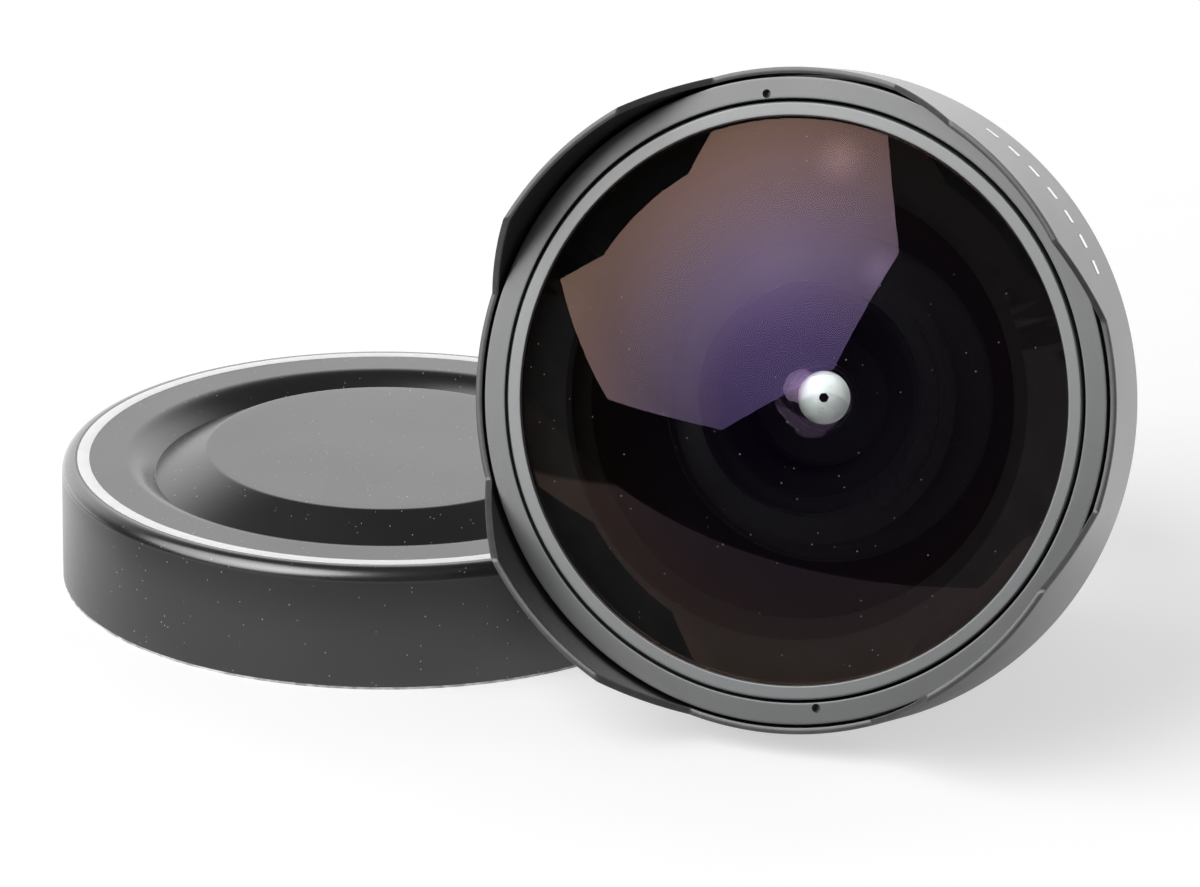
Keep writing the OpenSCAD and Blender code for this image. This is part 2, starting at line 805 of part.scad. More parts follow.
module guide_keys() {
    out = helicoid_out - 0.4;
    color("goldenrod") laid_down() around(2, 90) difference() {
        intersection() {
            translate([0, -key_width / 2, key_top_z - key_length]) cube([out, key_width, key_length]);
            tube(guide_out, out, key_top_z - key_length - over, key_top_z + over);
        }
        spoke(set_screw, guide_in, out + over, key_top_z - key_length / 2);
    }
}

module key_screws() {
    color("silver") laid_down() around(2, 90)
        spoke(set_screw, guide_in + 0.3, helicoid_out - 0.6, key_top_z - key_length / 2);
}

// Rear barrel, rings and mount

module rear_barrel() {
    color("#303030") laid_down() difference() {
        turned([
            [guide_in, flange_thick], [rear_radius, flange_thick], [rear_radius, neck_z],
            [neck_radius, neck_z], [neck_radius, neck_top_z], [neck_in, neck_top_z],
            [neck_in, sleeve_z], [guide_in, sleeve_z]
        ]);
        sector(guide_in - over, neck_radius + over, fork_low_z - slide_gap,
            fork_low_z + fork_thick + slide_gap, rod_angle - fork_margin, iris_throw + 2 * fork_margin);
        rotate([0, 0, detent_angle]) spoke(ball_hole, ball_hole_low, neck_radius + over, detent_z);
        rotate([0, 0, pin_angle]) translate([pin_circle, 0, flange_thick - over])
            cylinder(r = spring_hole, h = spring_top_z - flange_thick + over);
        sector(neck_radius + 0.5, rear_radius + over, switch_z + (switch_height - switch_slot) / 2,
            switch_z + (switch_height + switch_slot) / 2, switch_angle - 6, switch_turn + 12);
        around(set_screw_count) spoke(set_screw, neck_in + 1, neck_radius + over, depth_z + depth_length / 2);
        flange_screw_bars();
    }
}

module depth_ring() {
    color("#303030") laid_down() difference() {
        turned([
            [neck_radius + seat_gap, depth_z], [depth_radius - 0.4, depth_z],
            [depth_radius, depth_z + 0.4], [depth_radius, neck_top_z],
            [neck_radius + seat_gap, neck_top_z]
        ]);
        around(set_screw_count) spoke(set_screw, neck_radius - over, depth_radius + over,
            depth_z + depth_length / 2);
    }
}

module depth_ring_screws() {
    color("silver") laid_down() around(set_screw_count)
        spoke(set_screw, neck_in + 1, depth_radius - 0.3, depth_z + depth_length / 2);
}

module aperture_ring() {
    bore = neck_radius + turn_gap;
    top = aperture_z + aperture_length;
    notch = detent_depth + detent_notch;
    color("#303030") laid_down() difference() {
        turned([
            [bore, aperture_z], [aperture_radius - 0.5, aperture_z], [aperture_radius, aperture_z + 0.5],
            [aperture_radius, top - 0.5], [aperture_radius - 0.5, top], [bore, top],
            [bore, detent_z + 1.2], [detent_depth, detent_z + 1.2], [detent_depth, detent_z - 1.2],
            [bore, detent_z - 1.2]
        ]);
        for (i = [0 : detent_count - 1])
            rotate([0, 0, detent_angle - i * iris_throw / (detent_count - 1)])
                spoke(ball_radius, bore, notch, detent_z);
        rotate([0, 0, rod_angle]) translate([bore - over, -fork_width / 2, fork_low_z])
            cube([fork_root - bore + over, fork_width, fork_thick]);
    }
}

module aperture_fork() {
    notch = rod_radius + turn_gap;
    color("goldenrod") laid_down() rotate([0, 0, rod_angle]) difference() {
        translate([fork_tip, -fork_width / 2, fork_low_z])
            cube([fork_root - fork_tip, fork_width, fork_thick]);
        translate([fork_tip - over, -notch, fork_low_z - over])
            cube([rod_reach - fork_tip + over, 2 * notch, fork_thick + 2 * over]);
        translate([rod_reach, 0, fork_low_z - over]) cylinder(r = notch, h = fork_thick + 2 * over);
    }
}

module click_ball() {
    color("silver") laid_down() rotate([0, 0, detent_angle]) translate([ball_centre, 0, detent_z])
        sphere(r = ball_radius);
}

module click_spring() {
    wire = 0.12;
    length = ball_centre - ball_radius - ball_hole_low - 2 * wire;
    color("silver") laid_down() rotate([0, 0, detent_angle])
        translate([ball_hole_low + wire, 0, detent_z]) rotate([0, 90, 0]) coil(0.6, wire, 3, length);
}

module mode_switch() {
    stem_low = switch_z + (switch_height - switch_slot) / 2 + turn_gap;
    color("silver") laid_down() union() {
        sector(neck_radius + 0.7, rear_radius + 0.3, stem_low, stem_low + switch_slot - 2 * turn_gap,
            switch_angle - 4.5, 9);
        sector(rear_radius + turn_gap, rear_radius + 1.4, switch_z, switch_z + switch_height,
            switch_angle - 7, 14);
    }
}

module stop_down_pin() {
    color("silver") laid_down() rotate([0, 0, pin_angle]) translate([pin_circle, 0, 0]) union() {
        translate([0, 0, stop_pin_low_z]) cylinder(r = stop_pin, h = stop_pin_high_z - stop_pin_low_z);
        translate([0, 0, flange_thick + turn_gap]) cylinder(r = collar_radius, h = collar_thick);
    }
}

module stop_pin_spring() {
    wire = 0.15;
    low = flange_thick + turn_gap + collar_thick + 2 * wire;
    color("silver") laid_down() rotate([0, 0, pin_angle]) translate([pin_circle, 0, low])
        coil(1.25, wire, 9, spring_top_z - low - 2 * wire);
}

module flange_screw_bars() {
    for (a = flange_screw_angles) rotate([0, 0, a]) translate([flange_screw_circle, 0, 0]) {
        translate([0, 0, -over]) cylinder(r = flange_head, h = flange_head_deep + over);
        cylinder(r = flange_screw, h = flange_thick + flange_screw_deep);
    }
}

module bayonet_flange() {
    color("silver") laid_down() difference() {
        union() {
            turned([
                [mount_bore, -spigot_length], [spigot_radius, -spigot_length], [spigot_radius, 0],
                [flange_radius, 0], [flange_radius, flange_thick], [mount_bore, flange_thick]
            ]);
            for (i = [0 : wing_count - 1])
                sector(spigot_radius - over, spigot_radius + wing_rise, wing_z, wing_z + wing_thick,
                    i * 360 / wing_count - wing_sweep / 2, wing_sweep);
        }
        flange_screw_bars();
        rotate([0, 0, pin_angle]) translate([pin_circle, 0, -spigot_length - over])
            cylinder(r = stop_pin + turn_gap, h = spigot_length + flange_thick + 2 * over);
    }
}

module flange_screws() {
    color("silver") laid_down() for (a = flange_screw_angles)
        rotate([0, 0, a]) translate([flange_screw_circle, 0, 0]) difference() {
            union() {
                cylinder(r = flange_head - glue_gap, h = flange_head_deep);
                cylinder(r = flange_screw - glue_gap, h = flange_thick + flange_screw_deep);
            }
            translate([-flange_head, -0.2, -over]) cube([2 * flange_head, 0.4, over + 0.5]);
        }
}

// Cap, lying on its open side beside the lens

module on_table() {
    translate([lens_x - cap_side, lens_y - front_z * cos(tilt) + cap_back, 0]) children();
}

module cap_shell() {
    arc = [for (a = [0 : 30 : 90]) [cap_radius - cap_edge + cap_edge * cos(a),
        cap_height - cap_edge + cap_edge * sin(a)]];
    dip = [for (t = [0 : 0.2 : 1]) [cap_dip_outer - (cap_dip_outer - cap_dip_inner) * t,
        cap_height - cap_dip * (1 - cos(90 * t))]];
    lining = [for (p = reversed(dip)) [p[0] - 0.1, p[1] - cap_top - 0.1]];
    middle = cap_height + cap_plateau_rise;
    color("#282828") on_table() turned(concat(
        [[cap_radius, 0]], arc, dip, [[cap_plateau, middle], [0, middle]],
        [[0, middle - cap_top], [cap_plateau - 0.3, middle - cap_top]], lining,
        [[cap_in, cap_height - cap_top - 0.1], [cap_in, 0]]
    ));
}

module cap_felt() {
    color("black") on_table()
        tube(cap_in - felt_thick, cap_in - glue_gap, felt_low, felt_low + felt_length);
}

petal_hood();
front_barrel();
spanner_ring();
front_bezel();
front_element();
front_seal();
front_cell();
second_element();
second_retainer();
third_element();
fourth_element();
third_retainer();
iris_cover();
iris_housing();
iris_drive_ring();
iris_blade(1);  // iris_blade_1
iris_blade(2);  // iris_blade_2
iris_blade(3);  // iris_blade_3
iris_blade(4);  // iris_blade_4
iris_blade(5);  // iris_blade_5
iris_blade(6);  // iris_blade_6
rear_cell();
fifth_element();
sixth_element();
rear_spacer();
seventh_element();
eighth_element();
rear_retainer();
filter_rim();
filter_glass();
inner_helicoid();
helicoid_screws();
focus_helicoid();
focus_ring();
focus_set_screws();
focus_seat();
focus_keeper();
guide_sleeve();
guide_keys();
key_screws();
rear_barrel();
depth_ring();
depth_ring_screws();
aperture_ring();
aperture_fork();
click_ball();
click_spring();
mode_switch();
stop_down_pin();
stop_pin_spring();
bayonet_flange();
flange_screws();
cap_shell();
cap_felt();
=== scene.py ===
import json
import math
import bmesh
import bpy
from mathutils import Matrix, Vector


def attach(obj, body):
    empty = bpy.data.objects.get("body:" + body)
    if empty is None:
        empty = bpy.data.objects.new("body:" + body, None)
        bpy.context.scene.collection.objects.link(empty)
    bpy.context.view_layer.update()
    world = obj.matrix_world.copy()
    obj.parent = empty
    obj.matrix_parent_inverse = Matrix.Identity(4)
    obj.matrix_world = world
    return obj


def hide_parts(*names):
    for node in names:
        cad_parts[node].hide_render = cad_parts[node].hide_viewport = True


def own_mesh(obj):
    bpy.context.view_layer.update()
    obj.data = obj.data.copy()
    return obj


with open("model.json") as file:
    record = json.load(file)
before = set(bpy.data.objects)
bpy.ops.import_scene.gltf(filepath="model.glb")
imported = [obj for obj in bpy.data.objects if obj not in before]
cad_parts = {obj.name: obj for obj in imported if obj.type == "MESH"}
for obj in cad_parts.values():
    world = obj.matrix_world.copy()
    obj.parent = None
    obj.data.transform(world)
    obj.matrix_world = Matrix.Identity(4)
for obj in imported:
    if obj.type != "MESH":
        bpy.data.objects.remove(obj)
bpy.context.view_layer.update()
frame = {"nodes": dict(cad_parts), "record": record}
nodes = frame["nodes"]
print("frame loaded:", len(nodes), "nodes")

# How the lens and the cap lie, in mm and degrees
# The lens's own frame has the mount's seat at zero and the front up
lensLie = {"x": 42.8, "y": 41.644, "lift": 31.5938, "tilt": 16.7864, "front": 80.2}
capLie = {"x": -41.3, "y": 5.1615}
toMetres = 0.001


def lensMatrix(lie):
    s, c = math.sin(math.radians(lie["tilt"])), math.cos(math.radians(lie["tilt"]))
    turn = Matrix(((1, 0, 0, lie["x"]), (0, s, -c, lie["y"]), (0, c, s, lie["lift"]), (0, 0, 0, 1)))
    return Matrix.Scale(toMetres, 4) @ turn


lensFrame = lensMatrix(lensLie)
capFrame = Matrix.Scale(toMetres, 4) @ Matrix.Translation((capLie["x"], capLie["y"], 0))


# Camera

cameraPlace = {"spot": (0.351864, -1.0344, 0.428865), "turn": 18.844, "down": 20.057, "roll": 0.79,
               "lens": 210.0, "sensor": 36.0}


def addCamera(spec):
    data = bpy.data.cameras.new("photoCamera")
    data.lens = spec["lens"]
    data.sensor_width = spec["sensor"]
    data.sensor_fit = "HORIZONTAL"
    camera = bpy.data.objects.new("photoCamera", data)
    bpy.context.scene.collection.objects.link(camera)
    turn = Matrix.Rotation(math.radians(spec["turn"]), 4, "Z")
    tip = Matrix.Rotation(math.radians(90 - spec["down"]), 4, "X")
    roll = Matrix.Rotation(math.radians(spec["roll"]), 4, "Z")
    camera.matrix_world = Matrix.Translation(spec["spot"]) @ turn @ tip @ roll
    bpy.context.scene.camera = camera


addCamera(cameraPlace)


# Node helpers for materials

class Shader:
    def __init__(self, name):
        self.material = bpy.data.materials.new(name)
        self.material.use_nodes = True
        self.tree = self.material.node_tree
        self.tree.nodes.clear()
        self.output = self.add("ShaderNodeOutputMaterial")
        self.place = self.add("ShaderNodeTexCoord").outputs["Object"]

    def add(self, kind, values=None, **settings):
        node = self.tree.nodes.new(kind)
        for key, value in settings.items():
            setattr(node, key, value)
        for key, value in (values or {}).items():
            self.feed(node.inputs[key], value)
        return node

    def feed(self, socket, value):
        if isinstance(value, bpy.types.NodeSocket):
            self.tree.links.new(value, socket)
        else:
            socket.default_value = value

    def noise(self, scale, detail=2.0, place=None):
        values = {"Vector": place or self.place, "Scale": scale, "Detail": detail}
        return self.add("ShaderNodeTexNoise", values).outputs["Fac"]

    def remap(self, value, low, high, toLow, toHigh):
        values = {"Value": value, "From Min": low, "From Max": high, "To Min": toLow, "To Max": toHigh}
        return self.add("ShaderNodeMapRange", values, clamp=True).outputs["Result"]

    def math(self, kind, first, second=0.0):
        return self.add("ShaderNodeMath", {0: first, 1: second}, operation=kind).outputs[0]

    def blend(self, share, first, second):
        node = self.add("ShaderNodeMix", data_type="RGBA")
        colours = [socket for socket in node.inputs if socket.type == "RGBA"]
        self.feed(node.inputs[0], share)
        self.feed(colours[0], first)
        self.feed(colours[1], second)
        return [socket for socket in node.outputs if socket.type == "RGBA"][0]

    def bump(self, height, strength, distance):
        node = self.add("ShaderNodeBump", {"Height": height, "Strength": strength, "Distance": distance})
        return node.outputs["Normal"]

    # Where small specks lie: few of the cells hold one
    def specks(self, scale, radius, share):
        cells = self.add("ShaderNodeTexVoronoi", {"Vector": self.place, "Scale": scale})
        dot = self.math("LESS_THAN", cells.outputs["Distance"], radius)
        pick = self.add("ShaderNodeSeparateColor", {"Color": cells.outputs["Color"]}).outputs["Red"]
        return self.math("MULTIPLY", dot, self.math("LESS_THAN", pick, share))

    # Distance from an axis, and height along it
    def aroundAxis(self, axis):
        values = {"Vector": self.place, "Location": axis["shift"], "Rotation": axis["turn"]}
        aim = self.add("ShaderNodeMapping", values, vector_type="TEXTURE")
        part = self.add("ShaderNodeSeparateXYZ", {"Vector": aim.outputs["Vector"]})
        squares = self.math("ADD", self.math("MULTIPLY", part.outputs["X"], part.outputs["X"]),
                            self.math("MULTIPLY", part.outputs["Y"], part.outputs["Y"]))
        return self.math("SQRT", squares), part.outputs["Z"]

    # Fine rings around an axis, as a lathe leaves them
    def latheMarks(self, axis, scale):
        away, along = self.aroundAxis(axis)
        flat = self.add("ShaderNodeCombineXYZ", {"X": away, "Y": along})
        return self.noise(scale, 3.0, flat.outputs["Vector"])

    # Colours along a ramp
    def ramp(self, value, colours):
        node = self.add("ShaderNodeValToRGB", {"Fac": value})
        stops = node.color_ramp.elements
        while len(stops) < len(colours):
            stops.new(1.0)
        for stop, (spot, colour) in zip(stops, colours):
            stop.position = spot
            stop.color = (*colour, 1.0)
        return node.outputs["Color"]

    def show(self, shader):
        self.tree.links.new(shader, self.output.inputs["Surface"])
        return self.material


def grey(level, tint=(1.0, 1.0, 1.0)):
    return (level * tint[0], level * tint[1], level * tint[2], 1.0)


lensAxis = {"shift": tuple(c * toMetres for c in (lensLie["x"], lensLie["y"], lensLie["lift"])),
            "turn": (math.radians(90 - lensLie["tilt"]), 0.0, 0.0)}
capAxis = {"shift": (capLie["x"] * toMetres, capLie["y"] * toMetres, 0.0), "turn": (0.0, 0.0, 0.0)}


# What a finish has unless it says otherwise
plainFinish = {"tint": (1.0, 1.0, 1.0), "cloud": 90.0, "smudge": 240.0, "grain": 5200.0, "metal": 0.0,
               "gloss": 0.5, "ior": 1.5, "bump": 0.25, "depth": 0.00003, "wornLeast": 0.35}
noiseBand = (0.3, 0.7)


# Painted, turned or blackened metal, rubber and felt: tone, gloss, grain, dust, worn edges and lathe marks
def finish(name, ownSpec):
    s = Shader(name)
    spec = {**plainFinish, **ownSpec}
    tone = s.remap(s.noise(spec["cloud"], 4.0), *noiseBand, 0.0, 1.0)
    colour = s.blend(tone, grey(spec["dark"], spec["tint"]), grey(spec["light"], spec["tint"]))
    if "dust" in spec:
        colour = s.blend(s.specks(*spec["dust"]), colour, grey(spec["dustTone"]))
    if "wear" in spec:
        edge = s.add("ShaderNodeAttribute", attribute_name="wear").outputs["Fac"]
        patchy = s.remap(s.noise(spec["wearScale"], 3.0), 0.35, 0.65, spec["wornLeast"], 1.0)
        colour = s.blend(s.math("MULTIPLY", edge, patchy), colour, grey(spec["wear"]))
    rough = s.remap(s.noise(spec["smudge"], 3.0), *noiseBand, *spec["rough"])
    height = s.noise(spec["grain"], 2.0)
    if "lathe" in spec:
        height = s.math("ADD", height, s.latheMarks(spec["axis"], spec["lathe"]))
    shader = s.add("ShaderNodeBsdfPrincipled", {
        "Base Color": colour, "Roughness": rough, "Metallic": spec["metal"],
        "Specular IOR Level": spec["gloss"], "IOR": spec["ior"]})
    if spec["bump"] > 0:
        s.feed(shader.inputs["Normal"], s.bump(height, spec["bump"], spec["depth"]))
    if "polish" in spec:
        polished = s.add("ShaderNodeAttribute", attribute_name="polish").outputs["Fac"]
        s.feed(shader.inputs["Coat Weight"], polished)
        shader.inputs["Coat Roughness"].default_value = spec["polish"]
        shader.inputs["Coat IOR"].default_value = spec["polishIor"]
    return s.show(shader.outputs["BSDF"])


# Glass with dust, through which lamps shine; a coating mirrors other colours by angle and radius
def coatedGlass(name, spec):
    s = Shader(name)
    body = s.blend(s.noise(spec["cloud"]), grey(1.0), spec["tint"])
    if "coating" in spec:
        away, along = s.aroundAxis(lensAxis)
        bend = s.math("MULTIPLY", s.add("ShaderNodeLayerWeight").outputs["Facing"], spec["byAngle"])
        shift = s.math("ADD", s.math("MULTIPLY", away, spec["byRadius"]), bend)
        glass = s.add("ShaderNodeBsdfPrincipled", {
            "Base Color": body, "Roughness": 0.0, "IOR": spec["ior"], "Transmission Weight": 1.0,
            "Specular Tint": s.ramp(shift, spec["coating"])})
    else:
        glass = s.add("ShaderNodeBsdfRefraction", {"Color": body, "Roughness": 0.0, "IOR": spec["ior"]})
    fleck = s.add("ShaderNodeBsdfPrincipled", {"Base Color": spec["dustTone"], "Roughness": 0.8})
    settled = s.math("MULTIPLY", s.specks(*spec["dust"]), spec["dustShare"])
    dusty = s.add("ShaderNodeMixShader", {0: settled, 1: glass.outputs["BSDF"], 2: fleck.outputs["BSDF"]})
    clear = s.add("ShaderNodeBsdfTransparent", {"Color": grey(1.0)})
    lampRay = s.add("ShaderNodeLightPath").outputs["Is Shadow Ray"]
    both = s.add("ShaderNodeMixShader", {0: lampRay, 1: dusty.outputs["Shader"], 2: clear.outputs["BSDF"]})
    return s.show(both.outputs["Shader"])


turned = {"axis": lensAxis}
finishes = {
    "hood_paint": {"dark": 0.016, "light": 0.019, "rough": (0.24, 0.27), "ior": 1.6, "gloss": 0.6,
                   "smudge": 60.0, "wear": 0.16, "wearScale": 500.0, "wornLeast": 0.8,
                   "dust": (900.0, 0.10, 0.02), "dustTone": 0.3},
    "ring_paint": {"dark": 0.050, "light": 0.060, "tint": (0.97, 1.0, 1.02), "rough": (0.26, 0.30),
                   "gloss": 0.9},
    "spannerSatin": {"dark": 0.080, "light": 0.088, "tint": (0.96, 1.0, 1.0), "rough": (0.27, 0.30),
                     "ior": 1.8, "gloss": 0.8, "smudge": 60.0, **turned, "lathe": 3000.0, "bump": 0.08},
    "bezel_paint": {"dark": 0.12, "light": 0.13, "tint": (0.95, 1.0, 1.03), "rough": (0.27, 0.30),
                    "ior": 1.8, "gloss": 1.0, "smudge": 60.0, "bump": 0.08},
    "inner_black": {"dark": 0.0026, "light": 0.0036, "rough": (0.5, 0.6), "gloss": 0.06, **turned,
                    "lathe": 1500.0, "bump": 0.3, "depth": 0.00005},
    "seal_rubber": {"dark": 0.004, "light": 0.007, "rough": (0.7, 0.85), "gloss": 0.2},
    "groundEdge": {"dark": 0.002, "light": 0.003, "rough": (0.8, 0.9), "gloss": 0.1, "bump": 0.0},
    "blade_steel": {"dark": 0.86, "light": 0.95, "metal": 1.0, "rough": (0.32, 0.40), "grain": 3000.0,
                    "bump": 0.15},
    "steel": {"dark": 0.50, "light": 0.62, "metal": 1.0, "rough": (0.24, 0.36), **turned,
              "lathe": 2500.0, "bump": 0.15},
    "brass": {"dark": 0.50, "light": 0.62, "tint": (1.0, 0.76, 0.38), "metal": 1.0, "rough": (0.28, 0.4),
              **turned, "lathe": 2500.0, "bump": 0.2},
    "plain_aluminium": {"dark": 0.72, "light": 0.80, "metal": 1.0, "rough": (0.25, 0.36), **turned,
                        "lathe": 2500.0, "bump": 0.2},
    "mount_chrome": {"dark": 0.58, "light": 0.68, "metal": 1.0, "rough": (0.2, 0.3), **turned,
                     "lathe": 3500.0, "bump": 0.12},
    "cap_paint": {"dark": 0.008, "light": 0.010, "rough": (0.25, 0.29), "ior": 1.85, "gloss": 0.6,
                  "polish": 0.22, "polishIor": 2.0, "smudge": 40.0, "wear": 0.9, "wearScale": 420.0,
                  "dust": (1500.0, 0.13, 0.10), "dustTone": 0.6, "bump": 0.15},
    "felt": {"dark": 0.012, "light": 0.03, "rough": (0.9, 1.0), "grain": 2600.0, "bump": 0.9,
             "depth": 0.0002},
    "marking": {"dark": 0.62, "light": 0.72, "tint": (1.0, 0.98, 0.92), "rough": (0.5, 0.6)},
    "silverMarking": {"dark": 0.88, "light": 0.95, "tint": (1.0, 0.99, 0.94), "metal": 0.9,
                      "rough": (0.4, 0.5)},
}
clearGlass = {"ior": 1.75, "cloud": 60.0, "tint": (0.98, 0.99, 1.0, 1.0), "dust": (900.0, 0.08, 0.01),
              "dustShare": 0.3, "dustTone": (0.75, 0.75, 0.78, 1.0)}
glassFinishes = {
    "frontGlass": {**clearGlass, "tint": (0.98, 0.97, 1.0, 1.0), "dust": (1100.0, 0.11, 0.07),
                   "dustShare": 0.45, "byRadius": 14.2, "byAngle": 1.36,
                   "coating": ((0.20, (0.26, 0.175, 0.46)), (0.30, (0.34, 0.235, 0.50)),
                               (0.42, (0.46, 0.33, 0.54)), (0.52, (0.56, 0.39, 0.53)),
                               (0.62, (0.66, 0.43, 0.49)), (0.72, (0.74, 0.45, 0.43)),
                               (0.82, (0.78, 0.46, 0.36)), (0.95, (0.74, 0.44, 0.28)))},
    "rearGlass": clearGlass,
    "ghostGlass": {**clearGlass, "byRadius": 0.0, "byAngle": 1.0,
                   "coating": ((0.0, (0.7, 0.45, 0.8)), (1.0, (0.8, 0.6, 0.6)))},
    "thinGlass": {**clearGlass, "ior": 1.06},
}
# Painted shade: the six blades are one steel, given lighter and darker copies of its colour so the
# overlapping blades read as lit and shaded
bladePaintedShades = (1.0, 0.94, 0.86, 0.78, 0.86, 0.94)
paints = {slot: finish(slot, spec) for slot, spec in finishes.items()}
glasses = {name: coatedGlass(name, spec) for name, spec in glassFinishes.items()}
slotOf = {part["node"]: part["material_slot"] for part in frame["record"]["subparts"]}
for nodeName, cadObject in nodes.items():
    slot = slotOf[nodeName]
    cadObject.data.materials.clear()
    cadObject.data.materials.append(glasses["thinGlass"] if slot == "coated_glass" else paints[slot])
# Each blade gets its own painted-shade copy of the blade steel
for k, share in enumerate(bladePaintedShades):
    steel = finishes["blade_steel"]
    shade = {**steel, "dark": steel["dark"] * share, "light": steel["light"] * share}
    nodes["iris_blade_%d" % (k + 1)].data.materials[0] = finish("bladeSteel%d" % (k + 1), shade)
print("finishes assigned:", len(paints) + len(glasses) + len(bladePaintedShades))


# Mesh helpers

def newPiece(name, mesh, materials, body, smoothAngle=32.0):
    for material in materials:
        mesh.materials.append(material)
    mesh.shade_smooth()
    mesh.set_sharp_from_angle(angle=math.radians(smoothAngle))
    piece = bpy.data.objects.new(name, mesh)
    bpy.context.scene.collection.objects.link(piece)
    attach(piece, body)
    return piece


# Rounds the corners of a closed outline of radius and height; a point may carry its own rounding
def rounded(outline, radius, steps=5):
    result = []
    count = len(outline)
    for i, corner in enumerate(outline):
        here = Vector(corner[:2])
        toBefore = Vector(outline[i - 1][:2]) - here
        toAfter = Vector(outline[(i + 1) % count][:2]) - here
        size = corner[2] if len(corner) > 2 else radius
        turn = toBefore.angle(toAfter)
        if size <= 0 or turn > math.radians(176):
            result.append(tuple(here))
            continue
        reach = min(size / math.tan(turn / 2), 0.45 * toBefore.length, 0.45 * toAfter.length)
        first, last = here + toBefore.normalized() * reach, here + toAfter.normalized() * reach
        for k in range(steps + 1):
            t = k / steps
            result.append(tuple(first * (1 - t) ** 2 + here * 2 * t * (1 - t) + last * t ** 2))
    return result


# Turns a closed outline about the axis
# Marks are named values at its points, and sideOf picks a face's material
def lathe(name, outline, place, segments=360, marks=None, sideOf=None):
    bm = bmesh.new()
    layers = {key: bm.verts.layers.float.new(key) for key in marks or {}}
    rings = []
    for k in range(segments):
        a = 2 * math.pi * k / segments
        ring = []
        for r, z in outline:
            vert = bm.verts.new((r * math.cos(a), r * math.sin(a), z))
            for key, layer in layers.items():
                vert[layer] = marks[key](r, z)
            ring.append(vert)
        rings.append(ring)
    count = len(outline)
    for k in range(segments):
        here, there = rings[k], rings[(k + 1) % segments]
        for i in range(count):
            j = (i + 1) % count
            if outline[i][0] > 0 or outline[j][0] > 0:
                face = bm.faces.new((here[i], there[i], there[j], here[j]))
                face.material_index = sideOf(i) if sideOf else 0
    bmesh.ops.remove_doubles(bm, verts=bm.verts, dist=1e-5)
    bmesh.ops.recalc_face_normals(bm, faces=bm.faces)
    return intoMesh(bm, name, place)


def intoMesh(bm, name, place):
    bm.transform(place)
    mesh = bpy.data.meshes.new(name)
    bm.to_mesh(mesh)
    bm.free()
    return mesh


# Hood with four petals: a thin shell whose rim follows the petals, with rounded edges

hood = {"radius": 53.0, "wall": 1.05, "back": 66.3, "petal": 11.3, "gap": 33.0, "ramp": 14.25, "roll": 4.3,
        "edge": 0.16, "loop": 0.4, "backLoop": 0.5, "step": 0.75, "leastStep": 0.05}


def hoodRim(spec, radius, angle):
    lowHalf = spec["radius"] * math.sin(math.radians(spec["gap"] / 2))
    highHalf = spec["radius"] * math.sin(math.radians(spec["gap"] / 2 + spec["ramp"]))
    off = (angle - spec["roll"] + 45) % 90 - 45
    side = radius * math.sin(math.radians(abs(off)))
    share = min(max((side - lowHalf) / (highHalf - lowHalf), 0.0), 1.0)
    return lensLie["front"] + spec["petal"] * share


def hoodAngles(spec):
    angles = set()
    for k in range(4):
        for radius in (spec["radius"], spec["radius"] - spec["wall"]):
            for half in (spec["gap"] / 2, spec["gap"] / 2 + spec["ramp"]):
                bend = math.degrees(math.asin(spec["radius"] * math.sin(math.radians(half)) / radius))
                angles.update(round((spec["roll"] + 90 * k + sign * bend) % 360, 4) for sign in (-1, 1))
    angles.update(round(i * spec["step"], 4) for i in range(int(360 / spec["step"])))
    kept = []
    for a in sorted(angles):
        if not kept or a - kept[-1] > spec["leastStep"]:
            kept.append(a)
    return kept


def buildHood(spec):
    outer, inner, edge = spec["radius"], spec["radius"] - spec["wall"], spec["edge"]
    back, corner = spec["back"], edge * 0.3
    bm = bmesh.new()
    wearLayer = bm.verts.layers.float.new("wear")
    columns = []
    for angle in hoodAngles(spec):
        top = {r: hoodRim(spec, r, angle) for r in (outer, outer - edge, inner + edge, inner)}
        # Each point has its radius, height and share of wear
        column = [(outer, back + edge, 0.5), (outer, back + spec["backLoop"], 0.0),
                  (outer, top[outer] - spec["loop"], 0.0), (outer, top[outer] - edge, 0.6),
                  (outer - corner, top[outer] - corner, 1.0), (outer - edge, top[outer - edge], 0.5),
                  (inner + edge, top[inner + edge], 0.5), (inner + corner, top[inner] - corner, 1.0),
                  (inner, top[inner] - edge, 0.6), (inner, top[inner] - spec["loop"], 0.0),
                  (inner, back, 0.0), (outer - edge, back, 0.5)]
        c, s = math.cos(math.radians(angle)), math.sin(math.radians(angle))
        verts = []
        for r, z, wear in column:
            vert = bm.verts.new((r * c, r * s, z))
            vert[wearLayer] = wear
            verts.append(vert)
        columns.append(verts)
    for k, here in enumerate(columns):
        there = columns[(k + 1) % len(columns)]
        for i in range(len(here)):
            j = (i + 1) % len(here)
            bm.faces.new((here[i], there[i], there[j], here[j]))
    bmesh.ops.recalc_face_normals(bm, faces=bm.faces)
    mesh = intoMesh(bm, "petalHood", lensFrame)
    piece = newPiece("petalHood", mesh, [paints["hood_paint"]], "front_unit", 40.0)
    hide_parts("petal_hood")


buildHood(hood)
print("hood built")


# Bezel around the front glass

bezel = {"inner": 45.15, "outer": 47.5, "top": 80.5, "seat": 79.95, "under": 77.7, "lip": 46.5,
         "lipTop": 79.3, "chamfer": 0.2, "loop": 0.5, "round": 0.12}


